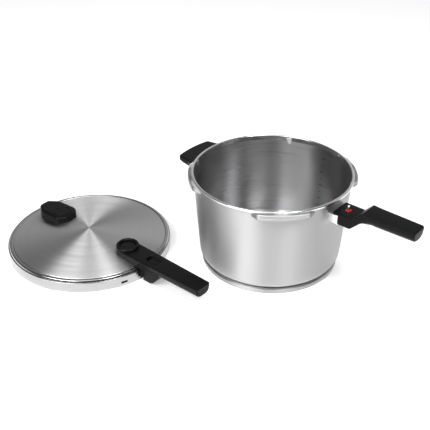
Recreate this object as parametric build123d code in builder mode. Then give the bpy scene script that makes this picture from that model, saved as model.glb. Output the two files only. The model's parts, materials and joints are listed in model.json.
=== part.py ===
from build123d import *
import os
from math import cos, degrees, hypot, radians, sin, sqrt

# Stovetop pressure cooker: an open pot with its bayonet lid lying beside it.
# The origin is the centre of the pot's base on the worktop, +Z is up, and the
# pot's long handle points along +X. All sizes are in millimetres.

os.makedirs("parts", exist_ok=True)

# ---------------------------------------------------------------- pot sizes
RIM_INNER_R = 109.8          # a 22 cm pot, measured inside the rim
WALL = 0.9                   # steel sheet of the wall
RIM_TOP = 140.6
RIM_OUTER_R = 113.4          # rolled bead round the mouth
FOOT_R = 101.0               # outside radius where the wall would meet the base
SHELL_FLOOR = 7.5            # underside of the pot's own steel bottom
FLOOR_SHEET = 1.2
BEAD_START = 136.2           # where the wall turns out into the bead
BEAD_UNDER = 137.2           # underside of the bead
SHELL_CORNER = 14.0
WALL_TAPER = (RIM_INNER_R + WALL - FOOT_R) / (RIM_TOP - SHELL_FLOOR)

BASE_R = 98.6                # steel cap of the sandwich base
BASE_SHEET = 0.8
CORE_R = BASE_R - 3.0         # aluminium disc inside the cap
CAP_GAP = 0.5                # dark line between the cap and the pot

LUG_AZIMUTHS = (45, 135, 225, 315)
LUG_SPAN = 46.0
LUG_OUTER_R = 118.0
LUG_TOP = 138.4
LUG_LOWER_EDGE = 129.5
LUG_SHEET = 1.4
LUG_GROOVE = (133.0, 135.0)  # a groove pressed round the outside of each lug
GROOVE_DEPTH = 0.5

# -------------------------------------------------------- pot handle sizes
BLOCK_TOP = 125.0
BLOCK_FLOOR = 109.0
BLOCK_HALF = 16.5
GRIP_TOP = 137.5
GRIP_FLOOR = 121.5
GRIP_ROOT_X = 166.0
GRIP_END_X = 227.5
GRIP_ROOT_HALF = 15.0
GRIP_END_HALF = 13.4

HANDLE_ROOT_X = 111.8        # inner end of the block, in the cup
POT_SCREW_X = 116.5
SCREW_BORE_R = 2.0           # bores for 4 mm screws
PIN_X = 125.5                # lock pin, on the radius of the lid's groove
PIN_R = 2.0
PIN_TOP = 133.0
PIN_FLANGE_R = 3.4
PIN_FLANGE_Z = 118.0
PIN_WELL_R = 3.7

# ---------------------------------------------------------------- lid sizes
LID_DISTANCE = 268.5         # the lid lies this far from the pot's axis
LID_AZIMUTH = 215.7
LID_X = LID_DISTANCE * cos(radians(LID_AZIMUTH))
LID_Y = LID_DISTANCE * sin(radians(LID_AZIMUTH))

DOME_APEX = 30.0
DOME_EDGE_R = 112.0
DOME_EDGE_Z = 18.7
SKIRT_R = 120.0
SKIRT_SHEET = 1.2
LID_LUG_SPAN = 42.0
LID_LUG_INNER_R = 114.5
LID_NOTCH = 1.3              # the skirt is this much shorter over each lug

DIAL_R = 83.0                # distance of the pressure dial from the lid's axis
SAFETY_R = 66.0
SAFETY_AZIMUTH = 183.0
GRIP_AZIMUTH = radians(SAFETY_AZIMUTH)

DOME_RISE = DOME_APEX - DOME_EDGE_Z
DOME_R = (DOME_EDGE_R**2 + DOME_RISE**2) / (2 * DOME_RISE)
DOME_CENTRE_Z = DOME_APEX - DOME_R
LID_SHEET = 1.4

LID_AXIS = Axis((LID_X, LID_Y, 0), (0, 0, 1))


# ------------------------------------------------------------------ helpers
def wall_r(height):
    """Outside radius of the pot's wall at a height."""
    return FOOT_R + (height - SHELL_FLOOR) * WALL_TAPER


def dome_z(radius, shift=0.0):
    """Height of the lid's domed disc at a radius, moved along its normal."""
    return DOME_CENTRE_Z + sqrt((DOME_R + shift) ** 2 - radius**2)


def pot_section(azimuth=0.0):
    """Upright plane through the pot's axis: x is the radius, y the height."""
    a = radians(azimuth)
    return Plane(origin=(0, 0, 0), x_dir=(cos(a), sin(a), 0), z_dir=(sin(a), -cos(a), 0))


def lid_section(azimuth=0.0):
    """Upright plane through the lid's axis: x is the radius, y the height."""
    a = radians(azimuth)
    return Plane(origin=(LID_X, LID_Y, 0), x_dir=(cos(a), sin(a), 0), z_dir=(sin(a), -cos(a), 0))


def lid_plane(height, azimuth=0.0):
    """Level plane on the lid's axis, turned so that x points along the azimuth."""
    a = radians(azimuth)
    return Plane(origin=(LID_X, LID_Y, height), x_dir=(cos(a), sin(a), 0), z_dir=(0, 0, 1))


def lid_upright(x):
    """Upright plane across the lid's handle, looking along +X from x."""
    return Plane(origin=(LID_X + x, LID_Y, 0), x_dir=(0, 1, 0), z_dir=(1, 0, 0))


def corner(sketch, x, y):
    """The vertex of a sketch that is nearest to a point."""
    return sketch.vertices().sort_by_distance((x, y))[0]


def cut_pot_wall(gap):
    """Cut the pot's wall, grown by a gap, away from the part being made."""
    with BuildSketch(pot_section()) as inside:
        Polygon(
            (0, 90), (wall_r(90) + gap, 90), (wall_r(139) + gap, 139), (0, 139),
            align=None,
        )
    revolve(inside.sketch, axis=Axis.Z, mode=Mode.SUBTRACT)


def cut_lid_dome(gap):
    """Cut everything under the lid's dome, grown by a gap, away from the part."""
    with BuildSketch(lid_section()) as below:
        with BuildLine():
            ThreePointArc(
                (0, dome_z(0, gap)), (60, dome_z(60, gap)), (DOME_EDGE_R, dome_z(DOME_EDGE_R, gap))
            )
            Line((DOME_EDGE_R, dome_z(DOME_EDGE_R, gap)), (DOME_EDGE_R, 0))
            Line((DOME_EDGE_R, 0), (0, 0))
            Line((0, 0), (0, dome_z(0, gap)))
        make_face()
    revolve(below.sketch, axis=LID_AXIS, mode=Mode.SUBTRACT)


def coil_spring(start, length, radius, wire, turns):
    """A round-wire coil spring standing on a plane, as the part being made."""
    with BuildLine() as coil:
        Helix(length / turns, length, radius, center=start.origin, direction=start.z_dir)
    with BuildSketch(Plane(origin=coil.line @ 0, z_dir=coil.line % 0)) as wire_end:
        Circle(wire / 2)
    sweep(wire_end.sketch, path=coil.line, is_frenet=True)


def pan_screw(head_plane, head_r, head_h, shank_r, shank_length):
    """A pan-head screw whose shank leaves the plane along its normal."""
    with BuildSketch(head_plane) as shank:
        Circle(shank_r)
    extrude(shank.sketch, amount=shank_length)
    with BuildSketch(head_plane) as head:
        Circle(head_r)
    extrude(head.sketch, amount=-head_h)
    with BuildSketch(head_plane.offset(-head_h)) as recess:
        SlotOverall(head_r * 1.3, head_r * 0.26)
        SlotOverall(head_r * 1.3, head_r * 0.26, rotation=90)
    extrude(recess.sketch, amount=head_h * 0.5, mode=Mode.SUBTRACT)


def save(piece, name):
    """Label a finished piece and write it as its own STEP file."""
    piece.label = name
    export_step(piece, f"parts/{name}.step")


# ================================================================== the pot
# Drawn steel shell: tapered wall, rolled bead and four bayonet lugs.
with BuildPart() as pot_shell:
    with BuildSketch(pot_section()) as wall:
        Polygon(
            (0, SHELL_FLOOR),
            (wall_r(SHELL_FLOOR), SHELL_FLOOR),
            (wall_r(BEAD_START), BEAD_START),
            (RIM_OUTER_R, BEAD_UNDER),
            (RIM_OUTER_R, RIM_TOP),
            (RIM_INNER_R, RIM_TOP),
            (wall_r(SHELL_FLOOR) - WALL, SHELL_FLOOR + FLOOR_SHEET),
            (0, SHELL_FLOOR + FLOOR_SHEET),
            align=None,
        )
        fillet(corner(wall, wall_r(SHELL_FLOOR), SHELL_FLOOR), SHELL_CORNER)
        fillet(corner(wall, wall_r(SHELL_FLOOR) - WALL, SHELL_FLOOR + FLOOR_SHEET), SHELL_CORNER - WALL)
        fillet(corner(wall, RIM_OUTER_R, RIM_TOP), 1.3)
        fillet(corner(wall, RIM_INNER_R, RIM_TOP), 0.8)
        fillet(corner(wall, RIM_OUTER_R, BEAD_UNDER), 0.8)
    revolve(axis=Axis.Z)
    for azimuth in LUG_AZIMUTHS:
        with BuildSketch(pot_section(azimuth - LUG_SPAN / 2)) as lug:
            Polygon(
                (wall_r(LUG_TOP) - 0.4, LUG_TOP),
                (LUG_OUTER_R, LUG_TOP),
                (LUG_OUTER_R, LUG_GROOVE[1]),
                (LUG_OUTER_R - GROOVE_DEPTH, LUG_GROOVE[1] - 0.4),
                (LUG_OUTER_R - GROOVE_DEPTH, LUG_GROOVE[0] + 0.4),
                (LUG_OUTER_R, LUG_GROOVE[0]),
                (LUG_OUTER_R, LUG_LOWER_EDGE),
                (LUG_OUTER_R - LUG_SHEET + 0.1, LUG_LOWER_EDGE),
                (LUG_OUTER_R - LUG_SHEET - 0.1, LUG_TOP - LUG_SHEET),
                (wall_r(LUG_TOP) - 0.4, LUG_TOP - LUG_SHEET),
                align=None,
            )
            fillet(corner(lug, LUG_OUTER_R, LUG_TOP), 2.0)
            fillet(corner(lug, LUG_OUTER_R - LUG_SHEET - 0.1, LUG_TOP - LUG_SHEET), 0.6)
        revolve(axis=Axis.Z, revolution_arc=LUG_SPAN)
save(pot_shell.part, "pot_shell")

# Aluminium heat-spreading disc sealed inside the base.
with BuildPart() as base_core:
    with BuildSketch(Plane.XY.offset(BASE_SHEET)):
        Circle(CORE_R)
    extrude(amount=SHELL_FLOOR - BASE_SHEET)
save(base_core.part, "base_core")

# Steel cap pressed over the disc: a shallow cup with a rounded foot.
with BuildPart() as base_cap:
    with BuildSketch(Plane.XY):
        Circle(BASE_R)
    extrude(amount=SHELL_FLOOR - CAP_GAP)
    fillet(base_cap.edges().group_by(Axis.Z)[0], 2.4)
    with BuildSketch(Plane.XY.offset(BASE_SHEET)):
        Circle(CORE_R)
    extrude(amount=SHELL_FLOOR, mode=Mode.SUBTRACT)
save(base_cap.part, "base_cap")

# ========================================================== the pot's handle
# Polished steel cup between the wall and the handle's inner end.
CUP_END_X = 120.5
CUP_HALF = BLOCK_HALF + 1.3
CUP_FLOOR = BLOCK_FLOOR - 1.3
CUP_TOP = 122.6
CUP_START_X = 104.0          # inside the wall, before the wall is cut away
CUP_HOLLOW_X = HANDLE_ROOT_X - 0.2
with BuildPart() as handle_cup:
    with BuildSketch(Plane.YZ.offset(CUP_START_X)) as cup_outline:
        with Locations((0, (CUP_TOP + CUP_FLOOR) / 2)):
            Rectangle(2 * CUP_HALF, CUP_TOP - CUP_FLOOR)
        fillet(cup_outline.vertices().group_by(Axis.Y)[0], 1.2)
    extrude(amount=CUP_END_X - CUP_START_X)
    with BuildSketch(Plane.YZ.offset(CUP_HOLLOW_X)):
        with Locations((0, (CUP_TOP + 2 + BLOCK_FLOOR) / 2)):
            Rectangle(2 * BLOCK_HALF, CUP_TOP + 2 - BLOCK_FLOOR)
    extrude(amount=CUP_END_X, mode=Mode.SUBTRACT)
    with BuildSketch(Plane.XY.offset(CUP_FLOOR)):
        with Locations((POT_SCREW_X, 0)):
            Circle(SCREW_BORE_R)
    extrude(amount=6, mode=Mode.SUBTRACT)
    cut_pot_wall(0.0)
save(handle_cup.part, "handle_cup")

# Moulded handle: low block at the pot, a step up, then the long grip.
GRIP_TOP_X = 153.5          # where the grip's flat top begins
with BuildPart() as pot_handle:
    with BuildSketch(Plane.XZ) as side_view:
        Polygon(
            (HANDLE_ROOT_X, BLOCK_FLOOR), (138.5, BLOCK_FLOOR), (153.0, GRIP_FLOOR + 1.5),
            (GRIP_ROOT_X + 6, GRIP_FLOOR), (GRIP_ROOT_X + 6, GRIP_TOP),
            (GRIP_TOP_X, GRIP_TOP), (141.0, BLOCK_TOP), (HANDLE_ROOT_X, BLOCK_TOP),
            align=None,
        )
        fillet(corner(side_view, 138.5, BLOCK_FLOOR), 3.0)
        fillet(corner(side_view, 153.0, GRIP_FLOOR + 1.5), 8.0)
        fillet(corner(side_view, GRIP_TOP_X, GRIP_TOP), 3.0)
        fillet(corner(side_view, 141.0, BLOCK_TOP), 2.5)
    extrude(amount=BLOCK_HALF, both=True)
    with BuildSketch(Plane.XY.offset(100)) as plan_view:
        Polygon(
            (HANDLE_ROOT_X, -BLOCK_HALF), (140, -BLOCK_HALF), (GRIP_ROOT_X, -GRIP_ROOT_HALF),
            (GRIP_ROOT_X + 6, -GRIP_ROOT_HALF + 0.15), (GRIP_ROOT_X + 6, GRIP_ROOT_HALF - 0.15),
            (GRIP_ROOT_X, GRIP_ROOT_HALF), (140, BLOCK_HALF), (HANDLE_ROOT_X, BLOCK_HALF),
            align=None,
        )
    extrude(amount=50, mode=Mode.INTERSECT)
    for station, half in ((GRIP_ROOT_X + 0.01, GRIP_ROOT_HALF), (GRIP_END_X, GRIP_END_HALF)):
        with BuildSketch(Plane.YZ.offset(station)) as grip_section:
            with Locations((0, (GRIP_TOP + GRIP_FLOOR) / 2)):
                Rectangle(2 * half, GRIP_TOP - GRIP_FLOOR)
            fillet(grip_section.vertices().group_by(Axis.Y)[0], 6.5)
            fillet(grip_section.vertices().group_by(Axis.Y)[-1], 1.4)
    loft()
    with BuildSketch(Plane.XY.offset(BLOCK_FLOOR)):
        with Locations((PIN_X, 0)):
            Circle(PIN_WELL_R)
    extrude(amount=PIN_FLANGE_Z + 1.5 - BLOCK_FLOOR, mode=Mode.SUBTRACT)
    with BuildSketch(Plane.XY.offset(BLOCK_FLOOR)):
        with Locations((PIN_X, 0)):
            Circle(PIN_R + 0.05)
    extrude(amount=20, mode=Mode.SUBTRACT)
    with BuildSketch(Plane.XY.offset(BLOCK_TOP)):
        with Locations((PIN_X, 0)):
            Circle(4.4)
    extrude(amount=-0.7, mode=Mode.SUBTRACT)
    with BuildSketch(Plane.XY.offset(BLOCK_FLOOR)):
        with Locations((POT_SCREW_X, 0)):
            Circle(SCREW_BORE_R)
    extrude(amount=9.0, mode=Mode.SUBTRACT)
    cut_pot_wall(1.2)
save(pot_handle.part, "pot_handle")

with BuildPart() as pot_handle_screw:
    pan_screw(Plane.XY.offset(CUP_FLOOR).move(Location((POT_SCREW_X, 0, 0))), 3.8, 2.2, 2.0, 9.8)
save(pot_handle_screw.part, "pot_handle_screw")

# Spring pin that the lid's latch hooks behind, with its red wiper ring.
with BuildPart() as lock_pin:
    with BuildSketch(Plane.XY.offset(PIN_FLANGE_Z)):
        with Locations((PIN_X, 0)):
            Circle(PIN_R)
    extrude(amount=PIN_TOP - PIN_FLANGE_Z)
    chamfer(lock_pin.edges().group_by(Axis.Z)[-1], 0.6)
    with BuildSketch(Plane.XY.offset(PIN_FLANGE_Z)):
        with Locations((PIN_X, 0)):
            Circle(PIN_FLANGE_R)
    extrude(amount=1.4)
save(lock_pin.part, "lock_pin")

with BuildPart() as pin_ring:
    with BuildSketch(Plane.XZ):
        with Locations((PIN_X + 3.2, BLOCK_TOP + 0.35)):
            Circle(1.0)
    revolve(axis=Axis((PIN_X, 0, 0), (0, 0, 1)))
save(pin_ring.part, "pin_ring")

with BuildPart() as pin_plug:
    with BuildSketch(Plane.XY.offset(BLOCK_FLOOR)):
        with Locations((PIN_X, 0)):
            Circle(PIN_WELL_R)
    extrude(amount=1.5)
    with BuildSketch(Plane.XY.offset(BLOCK_FLOOR)):
        with Locations((PIN_X, 0)):
            SlotOverall(5.0, 0.9)
    extrude(amount=0.7, mode=Mode.SUBTRACT)
save(pin_plug.part, "pin_plug")

with BuildPart() as pin_spring:
    coil_spring(Plane(origin=(PIN_X, 0, BLOCK_FLOOR + 1.8)), PIN_FLANGE_Z - BLOCK_FLOOR - 2.1, 2.8, 0.5, 3.5)
save(pin_spring.part, "pin_spring")

# ======================================================== the helper handle
EAR_TOP = 126.0
EAR_FLOOR = 113.0
EAR_HALF = 41.0
EAR_REACH = 152.0
EAR_TIP_X = -148.5
EAR_TIP_HALF = 32.0
EAR_SCREW_Y = 17.0
with BuildPart() as ear_bracket:
    with BuildSketch(Plane.YZ.offset(-118.5)) as tab:
        with Locations((0, 119.0)):
            Rectangle(56, 8)
        fillet(tab.vertices(), 2.5)
    extrude(amount=20)
    with BuildSketch(Plane.YZ.offset(-119)):
        with Locations((EAR_SCREW_Y, 119), (-EAR_SCREW_Y, 119)):
            Circle(1.6)
    extrude(amount=20, mode=Mode.SUBTRACT)
    cut_pot_wall(0.0)
save(ear_bracket.part, "ear_bracket")

with BuildPart() as helper_handle:
    with BuildSketch(Plane.XY.offset(EAR_FLOOR)) as ear:
        with BuildLine():
            Polyline((-100, -EAR_HALF), (-113.0, -EAR_HALF), (-127.0, -EAR_HALF + 5.0), (EAR_TIP_X, -EAR_TIP_HALF))
            ThreePointArc((EAR_TIP_X, -EAR_TIP_HALF), (-EAR_REACH, 0), (EAR_TIP_X, EAR_TIP_HALF))
            Polyline((EAR_TIP_X, EAR_TIP_HALF), (-127.0, EAR_HALF - 5.0), (-113.0, EAR_HALF), (-100, EAR_HALF))
            Line((-100, EAR_HALF), (-100, -EAR_HALF))
        make_face()
        fillet(ear.vertices().filter_by_position(Axis.X, EAR_TIP_X - 0.1, EAR_TIP_X + 0.1), 4.5)
    extrude(amount=EAR_TOP - EAR_FLOOR)
    chamfer(helper_handle.edges().filter_by_position(Axis.X, -160, -113.1).group_by(Axis.Z)[0], 5.5, 3.5)
    with BuildSketch(Plane.XY.offset(EAR_FLOOR)):
        Circle(113.2)
    extrude(amount=EAR_TOP, mode=Mode.SUBTRACT)
    with BuildSketch(Plane.YZ.offset(-118.5)) as tab_slot:
        with Locations((0, 119.0)):
            Rectangle(56, 8)
        fillet(tab_slot.vertices(), 2.5)
    extrude(amount=20, mode=Mode.SUBTRACT)
    with BuildSketch(Plane.YZ.offset(-160)):
        with Locations((EAR_SCREW_Y, 119), (-EAR_SCREW_Y, 119)):
            Circle(1.6)
    extrude(amount=50, mode=Mode.SUBTRACT)
    with BuildSketch(Plane.YZ.offset(-160)):
        with Locations((EAR_SCREW_Y, 119), (-EAR_SCREW_Y, 119)):
            Circle(3.2)
    extrude(amount=160 - 127.0, mode=Mode.SUBTRACT)
    top_edges = helper_handle.edges().group_by(Axis.Z)[-1]
    fillet(top_edges.filter_by_position(Axis.X, -160, -113.4), 1.5)
save(helper_handle.part, "helper_handle")

with BuildPart() as ear_screws:
    for y in (EAR_SCREW_Y, -EAR_SCREW_Y):
        pan_screw(Plane(origin=(-127.0, y, 119), x_dir=(0, 1, 0), z_dir=(1, 0, 0)), 2.9, 1.8, 1.6, 13.0)
save(ear_screws.part, "ear_screws")

# ================================================================== the lid
SEAL_FACE = 15.9
SEAL_INNER_R = 104.0
VALVE_BOSS_R = 12.6
VALVE_FLOOR = 21.5
SAFETY_BOSS_R = 10.0
SAFETY_FLOOR = 23.6
BOSS_SHEET = 1.5
VALVE_BORE_R = 6.0
SAFETY_BORE_R = 5.0
HANDLE_SCREW_X = 100.0
HANDLE_SCREW_Y = 9.0
GRIP_SCREW_RADII = (43.0, 89.0)

with BuildPart() as lid_shell:
    with BuildSketch(lid_section()) as lid_profile:
        with BuildLine():
            ThreePointArc((0, DOME_APEX), (60, dome_z(60)), (DOME_EDGE_R - 0.4, dome_z(DOME_EDGE_R - 0.4)))
            Line((DOME_EDGE_R - 0.4, dome_z(DOME_EDGE_R - 0.4)), (112.4, 18.1))
            ThreePointArc((112.4, 18.1), (115.2, 18.8), (118.1, 17.0))
            Polyline(
                (118.1, 17.0), (118.3, 15.9), (119.2, 15.6), (SKIRT_R, 14.9), (SKIRT_R, 0),
                (SKIRT_R - SKIRT_SHEET, 0), (SKIRT_R - SKIRT_SHEET, 14.6), (SKIRT_R - 2.2, SEAL_FACE),
                (SEAL_INNER_R, SEAL_FACE), (SEAL_INNER_R, dome_z(SEAL_INNER_R, -LID_SHEET)),
            )
            ThreePointArc(
                (SEAL_INNER_R, dome_z(SEAL_INNER_R, -LID_SHEET)),
                (60, dome_z(60, -LID_SHEET)),
                (0, dome_z(0, -LID_SHEET)),
            )
            Line((0, dome_z(0, -LID_SHEET)), (0, DOME_APEX))
        make_face()
    revolve(axis=LID_AXIS)
    # Flat seats for the two valves, sunk into the dome.
    with BuildSketch(lid_plane(VALVE_FLOOR - BOSS_SHEET)):
        with Locations((DIAL_R, 0)):
            Circle(VALVE_BOSS_R)
    extrude(amount=8)
    with BuildSketch(lid_plane(SAFETY_FLOOR - BOSS_SHEET, SAFETY_AZIMUTH)):
        with Locations((SAFETY_R, 0)):
            Circle(SAFETY_BOSS_R)
    extrude(amount=8)
    with BuildSketch(lid_section()):
        with BuildLine():
            ThreePointArc((0, DOME_APEX), (60, dome_z(60)), (DOME_EDGE_R - 0.4, dome_z(DOME_EDGE_R - 0.4)))
            Polyline(
                (DOME_EDGE_R - 0.4, dome_z(DOME_EDGE_R - 0.4)), (DOME_EDGE_R - 0.4, 45), (0, 45),
                (0, DOME_APEX),
            )
        make_face()
    revolve(axis=LID_AXIS, mode=Mode.SUBTRACT)
    with BuildSketch(lid_plane(VALVE_FLOOR)):
        with Locations((DIAL_R, 0)):
            Circle(VALVE_BOSS_R - 1.4)
    extrude(amount=10, mode=Mode.SUBTRACT)
    with BuildSketch(lid_plane(SAFETY_FLOOR, SAFETY_AZIMUTH)):
        with Locations((SAFETY_R, 0)):
            Circle(SAFETY_BOSS_R - 1.4)
    extrude(amount=10, mode=Mode.SUBTRACT)
    # Holes for the valves and for the screws of the two handles.
    with BuildSketch(lid_plane(10)):
        with Locations((DIAL_R, 0)):
            Circle(VALVE_BORE_R)
        with Locations((HANDLE_SCREW_X, HANDLE_SCREW_Y), (HANDLE_SCREW_X, -HANDLE_SCREW_Y)):
            Circle(SCREW_BORE_R)
    extrude(amount=25, mode=Mode.SUBTRACT)
    with BuildSketch(lid_plane(10, SAFETY_AZIMUTH)):
        with Locations((SAFETY_R, 0)):
            Circle(SAFETY_BORE_R)
        with Locations((GRIP_SCREW_RADII[0], 0), (GRIP_SCREW_RADII[1], 0)):
            Circle(SCREW_BORE_R)
    extrude(amount=25, mode=Mode.SUBTRACT)
    # Four folded-in lugs, each under a shallow notch of the skirt.
    for azimuth in LUG_AZIMUTHS:
        with BuildSketch(lid_section(azimuth - LID_LUG_SPAN / 2)):
            Polygon(
                (SKIRT_R - SKIRT_SHEET - 0.3, -1), (SKIRT_R + 1, -1), (SKIRT_R + 1, LID_NOTCH),
                (SKIRT_R - SKIRT_SHEET - 0.3, LID_NOTCH),
                align=None,
            )
        revolve(axis=LID_AXIS, revolution_arc=LID_LUG_SPAN, mode=Mode.SUBTRACT)
        with BuildSketch(lid_section(azimuth - LID_LUG_SPAN / 2)):
            Polygon(
                (LID_LUG_INNER_R, LID_NOTCH), (SKIRT_R - 0.3, LID_NOTCH),
                (SKIRT_R - 0.3, LID_NOTCH + 1.6), (LID_LUG_INNER_R, LID_NOTCH + 1.6),
                align=None,
            )
        revolve(axis=LID_AXIS, revolution_arc=LID_LUG_SPAN)
    # Relief window in the skirt, beside the handle.
    window_plane = Plane(lid_section(-18.4).origin, x_dir=lid_section(-18.4).x_dir, z_dir=(0, 0, 1))
    with BuildSketch(window_plane.offset(4.7)):
        with Locations((SKIRT_R, 0)):
            Rectangle(6, 9.5)
    extrude(amount=3.5, mode=Mode.SUBTRACT)
save(lid_shell.part, "lid_shell")

# Silicone sealing ring: a flange under the disc's edge and a lip inside it.
with BuildPart() as sealing_ring:
    with BuildSketch(lid_section()):
        Polygon(
            (SEAL_INNER_R + 0.1, 7.5), (106.5, 7.5), (107.0, 14.3), (117.4, 14.4),
            (117.4, SEAL_FACE), (SEAL_INNER_R + 0.1, SEAL_FACE),
            align=None,
        )
    revolve(axis=LID_AXIS)
save(sealing_ring.part, "sealing_ring")

# =========================================================== the lid handle
BASE_TOP = 27.5
COVER_TOP = 33.0
LID_GRIP_FLOOR = 18.0
LID_GRIP_ROOT_X = 160.0
LID_GRIP_END_X = 228.0
LID_GRIP_END_HALF = 12.8
LID_BLOCK_FLOOR = 3.0
LID_BLOCK_HALF = 15.6
DIAL_HALF = 16.4
BASE_INSET = 0.9             # the lower half is this much narrower
TRAY_FLOOR = 20.4
TRAY_X = 131.0
HOOK_Y = -5.2
COVER_SCREW_XS = (168.0, 215.0)


def handle_outline(inset):
    """Plan of the lid's handle: round at the dial and slightly tapered to the end."""
    with Locations((DIAL_R, 0)):
        Circle(DIAL_HALF - inset)
    Polygon(
        (DIAL_R, -DIAL_HALF + inset), (LID_GRIP_END_X - inset / 2, -LID_GRIP_END_HALF + inset),
        (LID_GRIP_END_X - inset / 2, LID_GRIP_END_HALF - inset), (DIAL_R, DIAL_HALF - inset),
        align=None,
    )


with BuildPart() as lid_handle_base:
    with BuildSketch(lid_section()) as base_side:
        Polygon(
            (60, 19.4), (121.4, 19.4), (121.4, LID_BLOCK_FLOOR), (141.0, LID_BLOCK_FLOOR),
            (146.5, 6.5), (157.0, LID_GRIP_FLOOR), (LID_GRIP_ROOT_X + 2, LID_GRIP_FLOOR),
            (LID_GRIP_ROOT_X + 2, BASE_TOP), (60, BASE_TOP),
            align=None,
        )
        fillet(corner(base_side, 146.5, 6.5), 3.0)
        fillet(corner(base_side, 157.0, LID_GRIP_FLOOR), 5.0)
    extrude(amount=LID_BLOCK_HALF, both=True)
    with BuildSketch(lid_plane(0)):
        handle_outline(BASE_INSET)
    extrude(amount=50, mode=Mode.INTERSECT)
    for station, half in ((LID_GRIP_ROOT_X, 13.9), (LID_GRIP_END_X, LID_GRIP_END_HALF)):
        with BuildSketch(lid_upright(station)) as grip_section:
            with Locations((0, (BASE_TOP + LID_GRIP_FLOOR) / 2)):
                Rectangle(2 * half, BASE_TOP - LID_GRIP_FLOOR)
            fillet(grip_section.vertices().group_by(Axis.Y)[0], 6.8)
    loft()
    cut_lid_dome(0.1)
    # Tray for the latch, with the well for its hook and the pin's groove.
    with BuildSketch(lid_plane(TRAY_FLOOR)):
        with Locations((TRAY_X, 0)):
            Rectangle(38.0, 17.0)
    extrude(amount=10, mode=Mode.SUBTRACT)
    with BuildSketch(lid_plane(LID_BLOCK_FLOOR - 1)):
        with Locations((124.3, HOOK_Y)):
            Rectangle(7.2, 4.8)
    extrude(amount=20, mode=Mode.SUBTRACT)
    with BuildSketch(lid_plane(LID_BLOCK_FLOOR - 1)):
        with Locations((PIN_X, 0)):
            Circle(2.6)
    extrude(amount=6.2, mode=Mode.SUBTRACT)
    with BuildSketch(lid_section(-9.0)):
        with Locations((PIN_X, LID_BLOCK_FLOOR + 2.1)):
            Rectangle(5.2, 6.2)
    revolve(axis=LID_AXIS, revolution_arc=9.0, mode=Mode.SUBTRACT)
    # Room for the valve and its nut, the two fixing screws and the cover's screws.
    with BuildSketch(lid_plane(15)):
        with Locations((DIAL_R, 0)):
            Circle(VALVE_BORE_R)
    extrude(amount=20, mode=Mode.SUBTRACT)
    with BuildSketch(lid_plane(25.9)):
        with Locations((DIAL_R, 0)):
            Circle(11.8)
    extrude(amount=10, mode=Mode.SUBTRACT)
    with BuildSketch(lid_plane(15)):
        with Locations((HANDLE_SCREW_X, HANDLE_SCREW_Y), (HANDLE_SCREW_X, -HANDLE_SCREW_Y)):
            Circle(SCREW_BORE_R)
        with Locations((COVER_SCREW_XS[0], 0), (COVER_SCREW_XS[1], 0)):
            Circle(1.5)
    extrude(amount=20, mode=Mode.SUBTRACT)
    with BuildSketch(lid_plane(15)):
        with Locations((COVER_SCREW_XS[0], 0), (COVER_SCREW_XS[1], 0)):
            Circle(3.0)
    extrude(amount=5.4, mode=Mode.SUBTRACT)
save(lid_handle_base.part, "lid_handle_base")

# Top cover with the dial's hole and the slot of the thumb slide.
SLOT_X0 = 124.2
SLOT_X1 = 145.7
SLOT_HALF = 6.2
DIAL_HOLE_R = 13.3
with BuildPart() as lid_handle_cover:
    with BuildSketch(lid_plane(BASE_TOP)):
        handle_outline(0.0)
    extrude(amount=COVER_TOP - BASE_TOP)
    fillet(lid_handle_cover.edges().group_by(Axis.Z)[-1], 1.2)
    with BuildSketch(lid_plane(BASE_TOP)):
        with Locations((DIAL_R, 0)):
            Circle(DIAL_HOLE_R)
    extrude(amount=COVER_TOP, mode=Mode.SUBTRACT)
    with BuildSketch(lid_plane(BASE_TOP)) as slot:
        with Locations(((SLOT_X0 + SLOT_X1) / 2, 0)):
            Rectangle(SLOT_X1 - SLOT_X0, 2 * SLOT_HALF)
        fillet(slot.vertices().group_by(Axis.X)[0], 4.0)
        fillet(slot.vertices().group_by(Axis.X)[-1], 1.0)
    extrude(amount=COVER_TOP, mode=Mode.SUBTRACT)
    with BuildSketch(lid_plane(BASE_TOP)):
        with Locations((COVER_SCREW_XS[0], 0), (COVER_SCREW_XS[1], 0)):
            Circle(1.5)
        with Locations((HANDLE_SCREW_X, HANDLE_SCREW_Y), (HANDLE_SCREW_X, -HANDLE_SCREW_Y)):
            Circle(SCREW_BORE_R)
    extrude(amount=3.5, mode=Mode.SUBTRACT)
save(lid_handle_cover.part, "lid_handle_cover")

with BuildPart() as lid_handle_screws:
    for y in (HANDLE_SCREW_Y, -HANDLE_SCREW_Y):
        reach = hypot(HANDLE_SCREW_X, y)
        under = dome_z(reach + 3.6, -LID_SHEET) - 0.1
        pan_screw(lid_plane(under).move(Location((HANDLE_SCREW_X, y, 0))), 3.4, 2.2, 2.0, 30.8 - under)
save(lid_handle_screws.part, "lid_handle_screws")

with BuildPart() as cover_screws:
    for x in COVER_SCREW_XS:
        pan_screw(lid_plane(TRAY_FLOOR).move(Location((x, 0, 0))), 2.8, 1.8, 1.5, 10.4)
save(cover_screws.part, "cover_screws")

# ============================================ pressure dial and main valve
DIAL_TOP = 37.4
DIAL_INNER_R = 12.0
DIAL_RING_R = 13.2            # the part of the dial that turns in the cover's hole
CAP_R = 11.6
STEM_R = 1.4
with BuildPart() as pressure_dial:
    with BuildSketch(lid_section()):
        Polygon(
            (DIAL_R + DIAL_INNER_R, 29.4), (DIAL_R + DIAL_RING_R, 29.4),
            (DIAL_R + DIAL_RING_R, COVER_TOP + 0.1),
            (DIAL_R + DIAL_HALF, COVER_TOP + 0.1), (DIAL_R + DIAL_HALF, 36.2), (DIAL_R + 15.2, DIAL_TOP),
            (DIAL_R + 13.0, DIAL_TOP), (DIAL_R + DIAL_INNER_R, 36.4),
            align=None,
        )
    revolve(axis=Axis((LID_X + DIAL_R, LID_Y, 0), (0, 0, 1)))
save(pressure_dial.part, "pressure_dial")

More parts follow.
